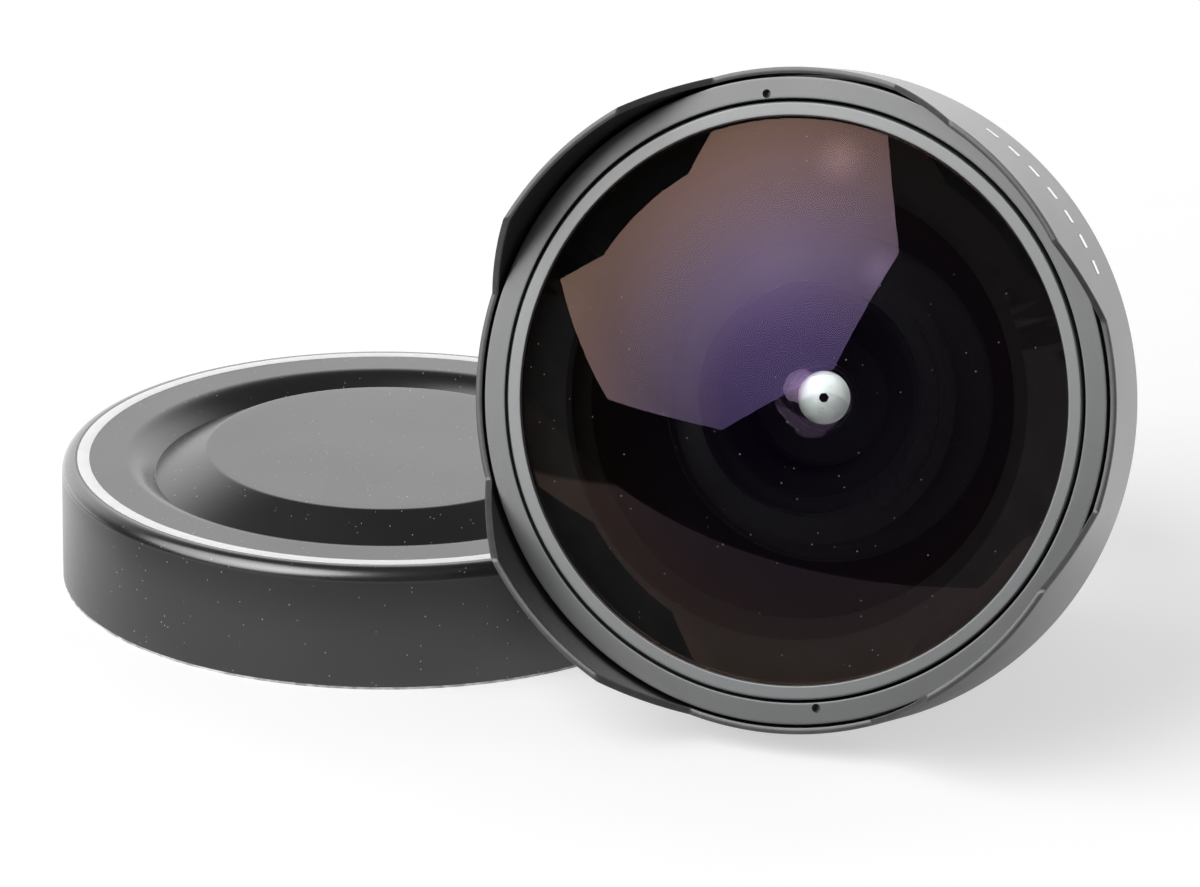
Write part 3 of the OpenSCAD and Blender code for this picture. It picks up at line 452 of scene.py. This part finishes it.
def buildBezel(spec):
    inner, outer, top, under = spec["inner"], spec["outer"], spec["top"], spec["under"]
    chamfer, loop = spec["chamfer"], spec["loop"]
    outline = [(inner, spec["seat"]), (inner + chamfer, top), (inner + loop, top, 0), (outer - loop, top, 0),
               (outer - chamfer, top), (outer, top - chamfer), (outer, under, 0), (spec["lip"], under, 0),
               (spec["lip"], spec["lipTop"], 0)]
    mesh = lathe("frontBezel", rounded(outline, spec["round"]), lensFrame)
    piece = newPiece("frontBezel", mesh, [paints["bezel_paint"]], "front_unit")
    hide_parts("front_bezel")


buildBezel(bezel)


# Spanner ring with two blind holes for a pin spanner

spanner = {"inner": 48.0, "outer": 51.45, "top": 80.2, "under": 77.7, "round": 0.14, "loop": 0.4,
           "holeRadius": 0.7, "holeCircle": 48.9, "holeFloor": 78.3, "holeTurn": 101.3, "holeSides": 40}


def buildSpannerRing(spec):
    inner, outer, top, under, loop = (spec[key] for key in ("inner", "outer", "top", "under", "loop"))
    outline = [(inner, under, 0), (outer, under, 0), (outer, top - loop, 0), (outer, top),
               (outer - loop, top, 0), (inner + loop, top, 0), (inner, top), (inner, top - loop, 0)]
    mesh = lathe("spannerWhole", rounded(outline, spec["round"]), lensFrame)
    whole = bpy.data.objects.new("spannerWhole", mesh)
    bm = bmesh.new()
    height = top + 1 - spec["holeFloor"]
    for turn in (spec["holeTurn"], spec["holeTurn"] + 180):
        spot = Matrix.Rotation(math.radians(turn), 4, "Z") @ Matrix.Translation(
            (spec["holeCircle"], 0, spec["holeFloor"] + height / 2))
        bmesh.ops.create_cone(bm, cap_ends=True, segments=spec["holeSides"], radius1=spec["holeRadius"],
                              radius2=spec["holeRadius"], depth=height, matrix=spot)
    pins = bpy.data.objects.new("spannerPins", intoMesh(bm, "spannerPins", lensFrame))
    for thing in (whole, pins):
        bpy.context.scene.collection.objects.link(thing)
    cut = whole.modifiers.new("holes", "BOOLEAN")
    cut.operation = "DIFFERENCE"
    cut.solver = "EXACT"
    cut.object = pins
    graph = bpy.context.evaluated_depsgraph_get()
    mesh = bpy.data.meshes.new_from_object(whole.evaluated_get(graph))
    for thing in (whole, pins):
        bpy.data.objects.remove(thing)
    mesh.materials.clear()
    piece = newPiece("spannerRing", mesh, [paints["spannerSatin"]], "front_unit")
    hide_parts("spanner_ring")


buildSpannerRing(spanner)
print("bezel and spanner ring built")


# Front glasses: a domed meniscus, a second meniscus and a cemented pair
# Distances are behind the front rings

frontGlass = {"edge": 46.35, "curve": 100.0, "centre": 89.526, "rim": 6.0, "boss": 35.5, "back": 13.0,
              "inner": 38.0, "thick": 5.8}
secondGlass = {"edge": 23.8, "curve": 70.0, "front": 9.0, "thick": 3.2, "inner": 22.0, "back": 23.9}
frontPair = {"edge": 11.9, "front": 36.5, "sag": 1.8, "back": 43.2}
glassSegments = 240


def arcPoints(curve, centre, fromRadius, toRadius, steps=40):
    points = []
    for k in range(steps + 1):
        r = fromRadius + (toRadius - fromRadius) * k / steps
        points.append((r, centre - math.sqrt(curve ** 2 - r ** 2)))
    return points


# The two curved sides are polished, and the edge between them is ground and blackened
def glassPiece(name, front, edge, back, looks, nodeNames):
    outline = [(r, lensLie["front"] - behind) for r, behind in front + edge + back]
    frontEnd, backStart = len(front) - 1, len(front) + len(edge)

    def sideOf(i):
        if i < frontEnd:
            return 0
        return 1 if i >= backStart else 2

    mesh = lathe(name, outline, lensFrame, glassSegments, sideOf=sideOf)
    piece = newPiece(name, mesh, [glasses[looks[0]], glasses[looks[1]], paints["groundEdge"]], "front_unit")
    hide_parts(*nodeNames)


# The hollow back of a meniscus, from its mouth to the axis
def hollowPoints(spec, vertex):
    centre = vertex + spec["thick"] + spec["inner"]
    mouth = math.sqrt(spec["inner"] ** 2 - (centre - spec["back"]) ** 2)
    return arcPoints(spec["inner"], centre, mouth, 0.0)


def buildFrontGlass(spec):
    dome = arcPoints(spec["curve"], spec["centre"], 0.0, spec["edge"])
    edge = [(spec["edge"], spec["rim"]), (spec["boss"], spec["rim"]), (spec["boss"], spec["back"])]
    hollow = hollowPoints(spec, spec["centre"] - spec["curve"])
    glassPiece("frontGlass", dome, edge, hollow, ("frontGlass", "rearGlass"), ["front_element"])


def buildSecondGlass(spec):
    dome = arcPoints(spec["curve"], spec["front"] + spec["curve"], 0.0, spec["edge"])
    edge = [(spec["edge"], spec["back"])]
    hollow = hollowPoints(spec, spec["front"])
    glassPiece("secondGlass", dome, edge, hollow, ("rearGlass", "ghostGlass"), ["second_element"])


def buildFrontPair(spec):
    curve = (spec["edge"] ** 2 + spec["sag"] ** 2) / (2 * spec["sag"])
    dome = arcPoints(curve, spec["front"] + curve, 0.0, spec["edge"], 16)
    flat = [(spec["edge"] * (1 - k / 4), spec["back"]) for k in range(5)]
    glassPiece("frontPair", dome, [], flat, ("thinGlass", "thinGlass"), ["third_element", "fourth_element"])


buildFrontGlass(frontGlass)
buildSecondGlass(secondGlass)
buildFrontPair(frontPair)
print("front glasses built")


# Cap: one spun shell with a rounded shoulder, a ring-shaped dip and a raised middle

cap = {"radius": 54.5, "inner": 53.7, "height": 20.8, "shoulder": 2.2, "rim": 43.9, "dipRadius": 38.8,
       "dip": 3.0, "plateau": 30.3, "rise": 1.4, "sheet": 1.0, "crest": 1.6, "steps": 16, "edge": 0.12,
       "footLoops": (0.4, 0.45), "loop": 0.06, "rimLoop": 0.15, "slopeLoop": 4.0, "crestIn": 0.2,
       "crestLoop": 3.0, "underIn": 0.3, "slack": 0.1, "fillet": 0.4, "mouthLoop": 0.5, "cornerSteps": 8,
       "worn": 0.42, "polish": 0.5, "polishPast": 0.03}
capRing = {"inner": 49.86, "outer": 51.9, "rise": 0.04, "sunk": 0.05, "round": 0.03, "cornerSteps": 3}


def capWear(r, z):
    return 1.0 if z < cap["worn"] and r > cap["inner"] else 0.0


def capPolish(r, z):
    past = cap["shoulder"] + cap["polishPast"]
    return cap["polish"] if r > cap["radius"] - past and z > cap["height"] - past else 0.0


# The outline goes up the wall, over the shoulder and the dip to the middle, and back along the inside
def buildCap(spec):
    radius, inner, height, plateau = spec["radius"], spec["inner"], spec["height"], spec["plateau"]
    sheet, curve, loop, steps = spec["sheet"], spec["shoulder"], spec["loop"], spec["steps"]
    low = height - spec["dip"]
    middle = height + spec["rise"]
    slope = (middle - low) / (spec["dipRadius"] - plateau)
    wall = [(radius, 0.0)] + [(radius, z, 0) for z in (*spec["footLoops"], height - curve - loop)]
    shoulder = []
    dip = []
    for k in range(steps + 1):
        t = k / steps
        a = math.pi / 2 * t
        shoulder.append((radius - curve + curve * math.cos(a), height - curve + curve * math.sin(a), 0))
        dip.append((spec["rim"] - (spec["rim"] - spec["dipRadius"]) * t,
                    height - spec["dip"] * (1 - math.cos(a)), 0))
    land = [(radius - curve - loop, height, 0), (spec["rim"] + spec["rimLoop"], height, 0)]
    under = [(r - spec["slack"], z - sheet - spec["slack"], 0) for r, z, _ in reversed(dip)]
    dip[-1] = (spec["dipRadius"], low)
    top = [(plateau + spec["slopeLoop"], middle - spec["slopeLoop"] * slope, 0),
           (plateau - spec["crestIn"], middle, spec["crest"]), (plateau - spec["crestLoop"], middle, 0),
           (0.0, middle, 0), (0.0, middle - sheet, 0), (plateau - spec["underIn"], middle - sheet, 0)]
    inside = [(inner, height - sheet - spec["slack"], spec["fillet"]), (inner, spec["mouthLoop"], 0),
              (inner, 0.0)]
    whole = wall + shoulder + land + dip + top + under + inside
    outline = rounded(whole, spec["edge"], spec["cornerSteps"])
    mesh = lathe("capShell", outline, capFrame, marks={"wear": capWear, "polish": capPolish})
    piece = newPiece("capShell", mesh, [paints["cap_paint"]], "cap")
    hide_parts("cap_shell")


def buildCapRing(spec):
    inner, outer = spec["inner"], spec["outer"]
    low, top = cap["height"] - spec["sunk"], cap["height"] + spec["rise"]
    corners = [(inner, low, 0), (outer, low, 0), (outer, top), (inner, top)]
    ring = rounded(corners, spec["round"], spec["cornerSteps"])
    bright = finish("capRingBright", {"dark": 0.92, "light": 0.96, "metal": 0.15, "rough": (0.35, 0.45),
                                      "axis": capAxis, "lathe": 4000.0, "bump": 0.1})
    piece = newPiece("capBrightRing", lathe("capBrightRing", ring, capFrame), [bright], "cap")


buildCap(cap)
buildCapRing(capRing)
print("cap built")


# Turned rings with their sharp edges broken: merged copies of the CAD nodes

brokenEdges = {"front_barrel": ("front_unit", 0.25), "focus_ring": ("focus_grip", 0.15),
               "depth_ring": ("rear_body", 0.12), "aperture_ring": ("aperture_grip", 0.15),
               "rear_barrel": ("rear_body", 0.15), "bayonet_flange": ("rear_body", 0.12),
               "mode_switch": ("mode_slider", 0.2)}
breaking = {"join": 2e-6, "flat": 0.6, "sharp": 32.0, "segments": 2, "smooth": 28.0}


# A CAD node's mesh with its doubled points joined
def joinedCopy(nodeName):
    bm = bmesh.new()
    bm.from_mesh(nodes[nodeName].data)
    bmesh.ops.remove_doubles(bm, verts=bm.verts, dist=breaking["join"])
    return bm


def buildSoftened(nodeName, body, width):
    bm = joinedCopy(nodeName)
    flat, corner = math.radians(breaking["flat"]), math.radians(breaking["sharp"])
    bmesh.ops.dissolve_limit(bm, angle_limit=flat, verts=bm.verts, edges=bm.edges)
    sharp = [e for e in bm.edges if e.is_manifold and e.calc_face_angle() > corner]
    bmesh.ops.bevel(bm, geom=sharp, offset=width * toMetres, segments=breaking["segments"], profile=0.5,
                    affect="EDGES", clamp_overlap=True)
    name = "".join(word.capitalize() for word in nodeName.split("_"))
    mesh = intoMesh(bm, name, Matrix.Identity(4))
    piece = newPiece("soft" + name, mesh, [paints[slotOf[nodeName]]], body, breaking["smooth"])
    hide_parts(nodeName)


for nodeName, (body, width) in brokenEdges.items():
    buildSoftened(nodeName, body, width)
print("rings softened:", len(brokenEdges))


# Return spring of the stop-down pin, which on the real lens shortens as the pin goes in; here it is a copy
# with a mesh of its own


def buildPinSpring():
    mesh = intoMesh(joinedCopy("stop_pin_spring"), "pinSpring", Matrix.Identity(4))
    piece = newPiece("pinSpring", mesh, [paints[slotOf["stop_pin_spring"]]], "rear_body")
    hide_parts("stop_pin_spring")
    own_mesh(piece)


buildPinSpring()


# Copies around the lens axis made by Geometry Nodes: grip ribs and painted ticks

ribSides = 12


def ringTree(name, shape):
    tree = bpy.data.node_groups.new(name, "GeometryNodeTree")
    sockets = {}
    kinds = {"Count": "NodeSocketInt", "Paint": "NodeSocketMaterial"}
    for key in ("Count", "Radius", "Start", "Step", "Height", "Proud", "Width", "Length", "Paint"):
        kind = kinds.get(key, "NodeSocketFloat")
        sockets[key] = tree.interface.new_socket(name=key, in_out="INPUT", socket_type=kind).identifier
    tree.interface.new_socket(name="Geometry", in_out="OUTPUT", socket_type="NodeSocketGeometry")
    source = tree.nodes.new("NodeGroupInput").outputs
    link = tree.links.new

    def filled(node, values):
        for socket, value in zip(node.inputs, values):
            if isinstance(value, (int, float)):
                socket.default_value = value
            else:
                link(value, socket)
        return node.outputs[0]

    def calc(kind, first, second=0.0):
        node = tree.nodes.new("ShaderNodeMath")
        node.operation = kind
        return filled(node, (first, second))

    def vector(x, y, z):
        return filled(tree.nodes.new("ShaderNodeCombineXYZ"), (x, y, z))

    index = tree.nodes.new("GeometryNodeInputIndex").outputs[0]
    angle = calc("ADD", source["Start"], calc("MULTIPLY", index, source["Step"]))
    line = tree.nodes.new("GeometryNodeMeshLine")
    link(source["Count"], line.inputs["Count"])
    spread = tree.nodes.new("GeometryNodeSetPosition")
    link(line.outputs["Mesh"], spread.inputs["Geometry"])
    across = calc("MULTIPLY", source["Radius"], calc("COSINE", angle))
    upward = calc("MULTIPLY", source["Radius"], calc("SINE", angle))
    link(vector(across, upward, source["Height"]), spread.inputs["Position"])
    copies = tree.nodes.new("GeometryNodeInstanceOnPoints")
    if shape == "rib":
        form = tree.nodes.new("GeometryNodeMeshCylinder")
        form.inputs["Vertices"].default_value = ribSides
        link(calc("MULTIPLY", source["Width"], 0.5), form.inputs["Radius"])
        link(source["Length"], form.inputs["Depth"])
        flatten = calc("DIVIDE", calc("MULTIPLY", source["Proud"], 2.0), source["Width"])
        link(vector(flatten, 1, 1), copies.inputs["Scale"])
    else:
        form = tree.nodes.new("GeometryNodeMeshCube")
        link(vector(source["Proud"], source["Width"], source["Length"]), form.inputs["Size"])
    link(spread.outputs["Geometry"], copies.inputs["Points"])
    link(form.outputs["Mesh"], copies.inputs["Instance"])
    turn = tree.nodes.new("FunctionNodeEulerToRotation")
    link(vector(0, 0, angle), turn.inputs[0])
    link(turn.outputs[0], copies.inputs["Rotation"])
    real = tree.nodes.new("GeometryNodeRealizeInstances")
    link(copies.outputs["Instances"], real.inputs["Geometry"])
    paint = tree.nodes.new("GeometryNodeSetMaterial")
    link(real.outputs["Geometry"], paint.inputs["Geometry"])
    link(source["Paint"], paint.inputs["Material"])
    link(paint.outputs["Geometry"], tree.nodes.new("NodeGroupOutput").inputs[0])
    return tree, sockets


ringTrees = {shape: ringTree(shape + "Ring", shape) for shape in ("rib", "tick")}


def ringOf(name, shape, spec):
    tree, sockets = ringTrees[shape]
    holder = bpy.data.objects.new(name + "Holder", bpy.data.meshes.new(name + "Holder"))
    bpy.context.scene.collection.objects.link(holder)
    copies = holder.modifiers.new("copies", "NODES")
    copies.node_group = tree
    plain = ("count", "radius", "height", "proud", "width", "length")
    values = {key.capitalize(): spec[key] for key in plain}
    values.update({"Start": math.radians(spec["start"]), "Step": math.radians(spec["step"])})
    values["Paint"] = paints[spec["paint"]]
    for key, value in values.items():
        copies[sockets[key]] = value
    graph = bpy.context.evaluated_depsgraph_get()
    mesh = bpy.data.meshes.new_from_object(holder.evaluated_get(graph))
    bpy.data.objects.remove(holder)
    mesh.name = name
    mesh.transform(lensFrame)
    piece = newPiece(name, mesh, [], spec["body"])


grip = {"start": 0.0, "paint": "ring_paint", "slot": "ring_paint"}
ribs = {
    "focusRibs": {**grip, "count": 120, "step": 3.0, "radius": 39.0, "height": 48.7, "proud": 0.5,
                  "width": 1.3, "length": 9.6, "body": "focus_grip"},
    "apertureRibs": {**grip, "count": 108, "step": 360 / 108, "radius": 33.0, "height": 22.6, "proud": 0.4,
                     "width": 1.1, "length": 3.6, "body": "aperture_grip"},
    "switchRibs": {**grip, "count": 5, "start": 67.0, "step": 1.5, "radius": 33.4, "height": 11.4,
                   "proud": 0.2, "width": 0.5, "length": 3.4, "body": "mode_slider"},
}
tick = {"start": 90.0, "proud": 0.04, "width": 0.25, "paint": "marking", "slot": "ring_paint"}
ticks = {
    "hoodMarks": {"count": 7, "start": 30.24, "step": 4.9, "radius": 53.0, "height": 76.0, "proud": 0.08,
                  "width": 2.3, "length": 1.4, "paint": "silverMarking", "slot": "hood_paint",
                  "body": "front_unit"},
    "depthTicks": {**tick, "count": 9, "start": 70.0, "step": 5.0, "radius": 34.0, "height": 35.2,
                   "length": 2.0, "body": "rear_body"},
    "apertureTicks": {**tick, "count": 6, "step": -9.0, "radius": 33.0, "height": 28.8, "length": 0.7,
                      "body": "aperture_grip"},
    "focusTicks": {**tick, "count": 31, "step": -5.0, "radius": 36.5, "height": 37.7, "length": 1.0,
                   "body": "focus_grip"},
}
for name, spec in ribs.items():
    ringOf(name, "rib", spec)
for name, spec in ticks.items():
    ringOf(name, "tick", spec)
print("grip ribs and ticks built")


# Plain numbers wrapped around the scales

scales = {
    "apertureNumbers": {"texts": ("22", "16", "11", "8", "5.6", "4"), "start": 90.0, "step": -9.0,
                        "radius": 33.0, "height": 26.6, "size": 2.4, "body": "aperture_grip"},
    "focusNumbers": {"texts": ("30", "10", "5", "3", "2", "1.5", "1", "0.7", "0.5", "0.4", "0.3"),
                     "start": 90.0, "step": -15.0, "radius": 36.5, "height": 39.9, "size": 2.4,
                     "body": "focus_grip"},
    "depthNumbers": {"texts": ("22", "16", "11", "8", "8", "11", "16", "22"), "start": 70.0,
                     "step": 40.0 / 7, "radius": 34.0, "height": 32.4, "size": 1.9, "body": "rear_body"},
}
numberPaint = {"thick": 0.02, "proud": 0.015}


def flatText(text, size):
    curve = bpy.data.curves.new("scaleText", "FONT")
    curve.body = text
    curve.size = size
    curve.extrude = numberPaint["thick"]
    curve.align_x = "CENTER"
    curve.align_y = "CENTER"
    holder = bpy.data.objects.new("scaleText", curve)
    bpy.context.scene.collection.objects.link(holder)
    graph = bpy.context.evaluated_depsgraph_get()
    mesh = bpy.data.meshes.new_from_object(holder.evaluated_get(graph))
    bpy.data.objects.remove(holder)
    return mesh


def buildNumbers(name, spec):
    bm = bmesh.new()
    for i, text in enumerate(spec["texts"]):
        mesh = flatText(text, spec["size"])
        middle = math.radians(spec["start"] + spec["step"] * i)
        for vert in mesh.vertices:
            x, y, z = vert.co
            a, r = middle + x / spec["radius"], spec["radius"] + numberPaint["proud"] + z
            vert.co = (r * math.cos(a), r * math.sin(a), spec["height"] + y)
        bm.from_mesh(mesh)
        bpy.data.meshes.remove(mesh)
    bmesh.ops.remove_doubles(bm, verts=bm.verts, dist=1e-5)
    bmesh.ops.recalc_face_normals(bm, faces=bm.faces)
    piece = newPiece(name, intoMesh(bm, name, lensFrame), [paints["marking"]], spec["body"])


for name, spec in scales.items():
    buildNumbers(name, spec)
print("scale numbers built")


# Table, studio light and surroundings

# Some of the table's values paint shade and light into the table that only reflections see
table = {"edge": (0.0445, -0.148), "half": 3.0, "deep": 3.5, "tone": 0.60, "grain": 0.03,
         "reach": (0.1, 1.2), "nearLift": 0.54, "farLift": 0.88, "throughGlass": 0.5,
         "front": (-0.03, 0.05), "frontTone": 0.6, "byCap": (0.080, 0.098), "capTone": 1.35,
         "left": (-0.175, -0.160), "leftTone": 0.15, "mirrorFrom": (-0.05, 0.05), "mirrored": 1.0}
lightBox = {"turn": -41.0, "rise": 37.7, "far": 1.15, "ahead": 5.0, "spread": 0.702, "roll": 26.9,
            "sides": 8, "centre": (0.35, 0.0), "level": 4.7, "outer": 2.1, "fade": 0.9,
            "patches": (((0.25, 0.63), 0.16, 1.8), ((0.85, 0.30), 0.14, 1.8))}
room = {"ambient": 0.13, "front": 0.08, "left": 0.02, "leftFrom": (-0.9, -0.5), "backWall": 1.44,
        "wallTop": (0.45, 0.75), "wallFrom": (0.0, 0.5)}


def buildTable(spec):
    turn = math.radians(cameraPlace["turn"])
    along = Vector((math.cos(turn), math.sin(turn), 0)) * spec["half"]
    back = Vector((-math.sin(turn), math.cos(turn), 0)) * spec["deep"]
    start = Vector((*spec["edge"], 0))
    corners = [start - along, start + along, start + along + back, start - along + back]
    mesh = bpy.data.meshes.new("tableTop")
    mesh.from_pydata([tuple(c) for c in corners], [], [(0, 1, 2, 3)])
    s = Shader("tablePaper")
    spot = s.add("ShaderNodeSeparateXYZ", {"Vector": s.place})
    deepness = spot.outputs["Y"]
    path = s.add("ShaderNodeLightPath").outputs
    # Painted shade and light seen only in reflections: for glossy rays the front part and the left end of
    # the table are darker, away from the cap, and the table next to the cap is lighter
    toCap = s.add("ShaderNodeVectorMath", {0: s.place, 1: capAxis["shift"]}, operation="DISTANCE")
    fromCap = s.remap(toCap.outputs["Value"], *spec["byCap"], spec["capTone"], spec["frontTone"])
    fromLeft = s.remap(spot.outputs["X"], *spec["left"], spec["leftTone"], 1.0)
    fromBack = s.remap(deepness, *spec["front"], 0.0, 1.0)
    mirrorLitLevel = s.math("MAXIMUM", s.math("MULTIPLY", fromCap, fromLeft), fromBack)
    mirrorShade = s.math("MULTIPLY", path["Is Glossy Ray"], s.math("SUBTRACT", 1.0, mirrorLitLevel))
    least, most = spec["tone"] * (1 - spec["grain"]), spec["tone"] * (1 + spec["grain"])
    grain = s.remap(s.noise(30.0, 3.0), 0.0, 1.0, least, most)
    # Paper grain, times the painted reflection shade and light
    tone = s.math("MULTIPLY", grain, s.math("SUBTRACT", 1.0, mirrorShade))
    paper = s.add("ShaderNodeBsdfDiffuse", {"Color": s.blend(tone, grey(0.0), grey(1.0))})
    behindGlass = s.math("MULTIPLY", path["Is Transmission Ray"], spec["throughGlass"])
    through = s.math("MAXIMUM", path["Is Camera Ray"], behindGlass)
    reach = s.add("ShaderNodeVectorMath", {0: s.place}, operation="LENGTH").outputs["Value"]
    lift = s.remap(reach, *spec["reach"], spec["nearLift"], spec["farLift"])
    paleBack = s.remap(deepness, *spec["mirrorFrom"], 0.0, spec["mirrored"])
    mirrored = s.math("MULTIPLY", path["Is Glossy Ray"], paleBack)
    strength = s.math("MAXIMUM", s.math("MULTIPLY", through, lift), mirrored)
    glow = s.add("ShaderNodeEmission", {"Strength": strength})
    both = s.add("ShaderNodeAddShader", {0: paper.outputs["BSDF"], 1: glow.outputs["Emission"]})
    mesh.materials.append(s.show(both.outputs["Shader"]))
    floor = bpy.data.objects.new("tableTop", mesh)
    bpy.context.scene.collection.objects.link(floor)


def buildLightBox(spec):
    turn, rise = math.radians(spec["turn"]), math.radians(spec["rise"])
    aim = Vector((math.sin(turn) * math.cos(rise), -math.cos(turn) * math.cos(rise), math.sin(rise)))
    side = Vector((0, 0, 1)).cross(aim).normalized()
    up = aim.cross(side)
    glassMiddle = lensFrame @ Vector((0, 0, lensLie["front"] + spec["ahead"]))
    centre = glassMiddle + aim * spec["far"]
    radius = spec["far"] * spec["spread"]
    corners = []
    for k in range(spec["sides"]):
        a = math.radians(spec["roll"] + 360 / spec["sides"] * k)
        corners.append(tuple(centre + side * radius * math.cos(a) + up * radius * math.sin(a)))
    mesh = bpy.data.meshes.new("lightBox")
    mesh.from_pydata(corners, [], [tuple(reversed(range(spec["sides"])))])
    s = Shader("lightBoxGlow")

    def distanceFrom(across, high):
        spot = centre + side * radius * across + up * radius * high
        return s.add("ShaderNodeVectorMath", {0: s.place, 1: spot}, operation="DISTANCE").outputs["Value"]

    fade = spec["fade"] * radius
    level = s.remap(distanceFrom(*spec["centre"]), 0.0, fade, spec["level"], spec["outer"])
    for spot, reach, more in spec["patches"]:
        level = s.math("ADD", level, s.remap(distanceFrom(*spot), 0.0, reach * radius, more, 0.0))
    back = s.add("ShaderNodeNewGeometry").outputs["Backfacing"]
    strength = s.math("MULTIPLY", s.math("SUBTRACT", 1.0, back), level)
    glow = s.add("ShaderNodeEmission", {"Strength": strength})
    mesh.materials.append(s.show(glow.outputs["Emission"]))
    box = bpy.data.objects.new("lightBox", mesh)
    bpy.context.scene.collection.objects.link(box)
    box.visible_camera = False
    box.visible_shadow = False


def buildRoom(spec):
    world = bpy.data.worlds.new("studioRoom")
    bpy.context.scene.world = world
    world.use_nodes = True
    tree = world.node_tree
    tree.nodes.clear()

    def ranged(socket, *limits):
        node = tree.nodes.new("ShaderNodeMapRange")
        tree.links.new(socket, node.inputs["Value"])
        for key, value in zip(("From Min", "From Max", "To Min", "To Max"), limits):
            node.inputs[key].default_value = value
        return node.outputs["Result"]

    def paired(kind, first, second):
        node = tree.nodes.new("ShaderNodeMath")
        node.operation = kind
        tree.links.new(first, node.inputs[0])
        tree.links.new(second, node.inputs[1])
        return node.outputs[0]

    way = tree.nodes.new("ShaderNodeTexCoord").outputs["Generated"]
    part = tree.nodes.new("ShaderNodeSeparateXYZ")
    tree.links.new(way, part.inputs["Vector"])
    below = ranged(part.outputs["Z"], *spec["wallTop"], 1.0, 0.0)
    wall = paired("MULTIPLY", below, ranged(part.outputs["Y"], *spec["wallFrom"], 0.0, 1.0))
    path = tree.nodes.new("ShaderNodeLightPath").outputs
    ambient = ranged(path["Is Glossy Ray"], 0.0, 1.0, spec["ambient"], 0.0)
    sideways = ranged(part.outputs["X"], *spec["leftFrom"], spec["left"], spec["front"])
    dim = paired("ADD", ambient, paired("MULTIPLY", path["Is Glossy Ray"], sideways))
    level = paired("MAXIMUM", dim, ranged(wall, 0.0, 1.0, 0.0, spec["backWall"]))
    white = paired("MAXIMUM", level, path["Is Camera Ray"])
    glow = tree.nodes.new("ShaderNodeBackground")
    glow.inputs["Color"].default_value = grey(1.0)
    tree.links.new(white, glow.inputs["Strength"])
    tree.links.new(glow.outputs["Background"], tree.nodes.new("ShaderNodeOutputWorld").inputs["Surface"])


buildTable(table)
buildLightBox(lightBox)
buildRoom(room)
bpy.context.scene.view_settings.view_transform = "Standard"
print("table, light and room set")
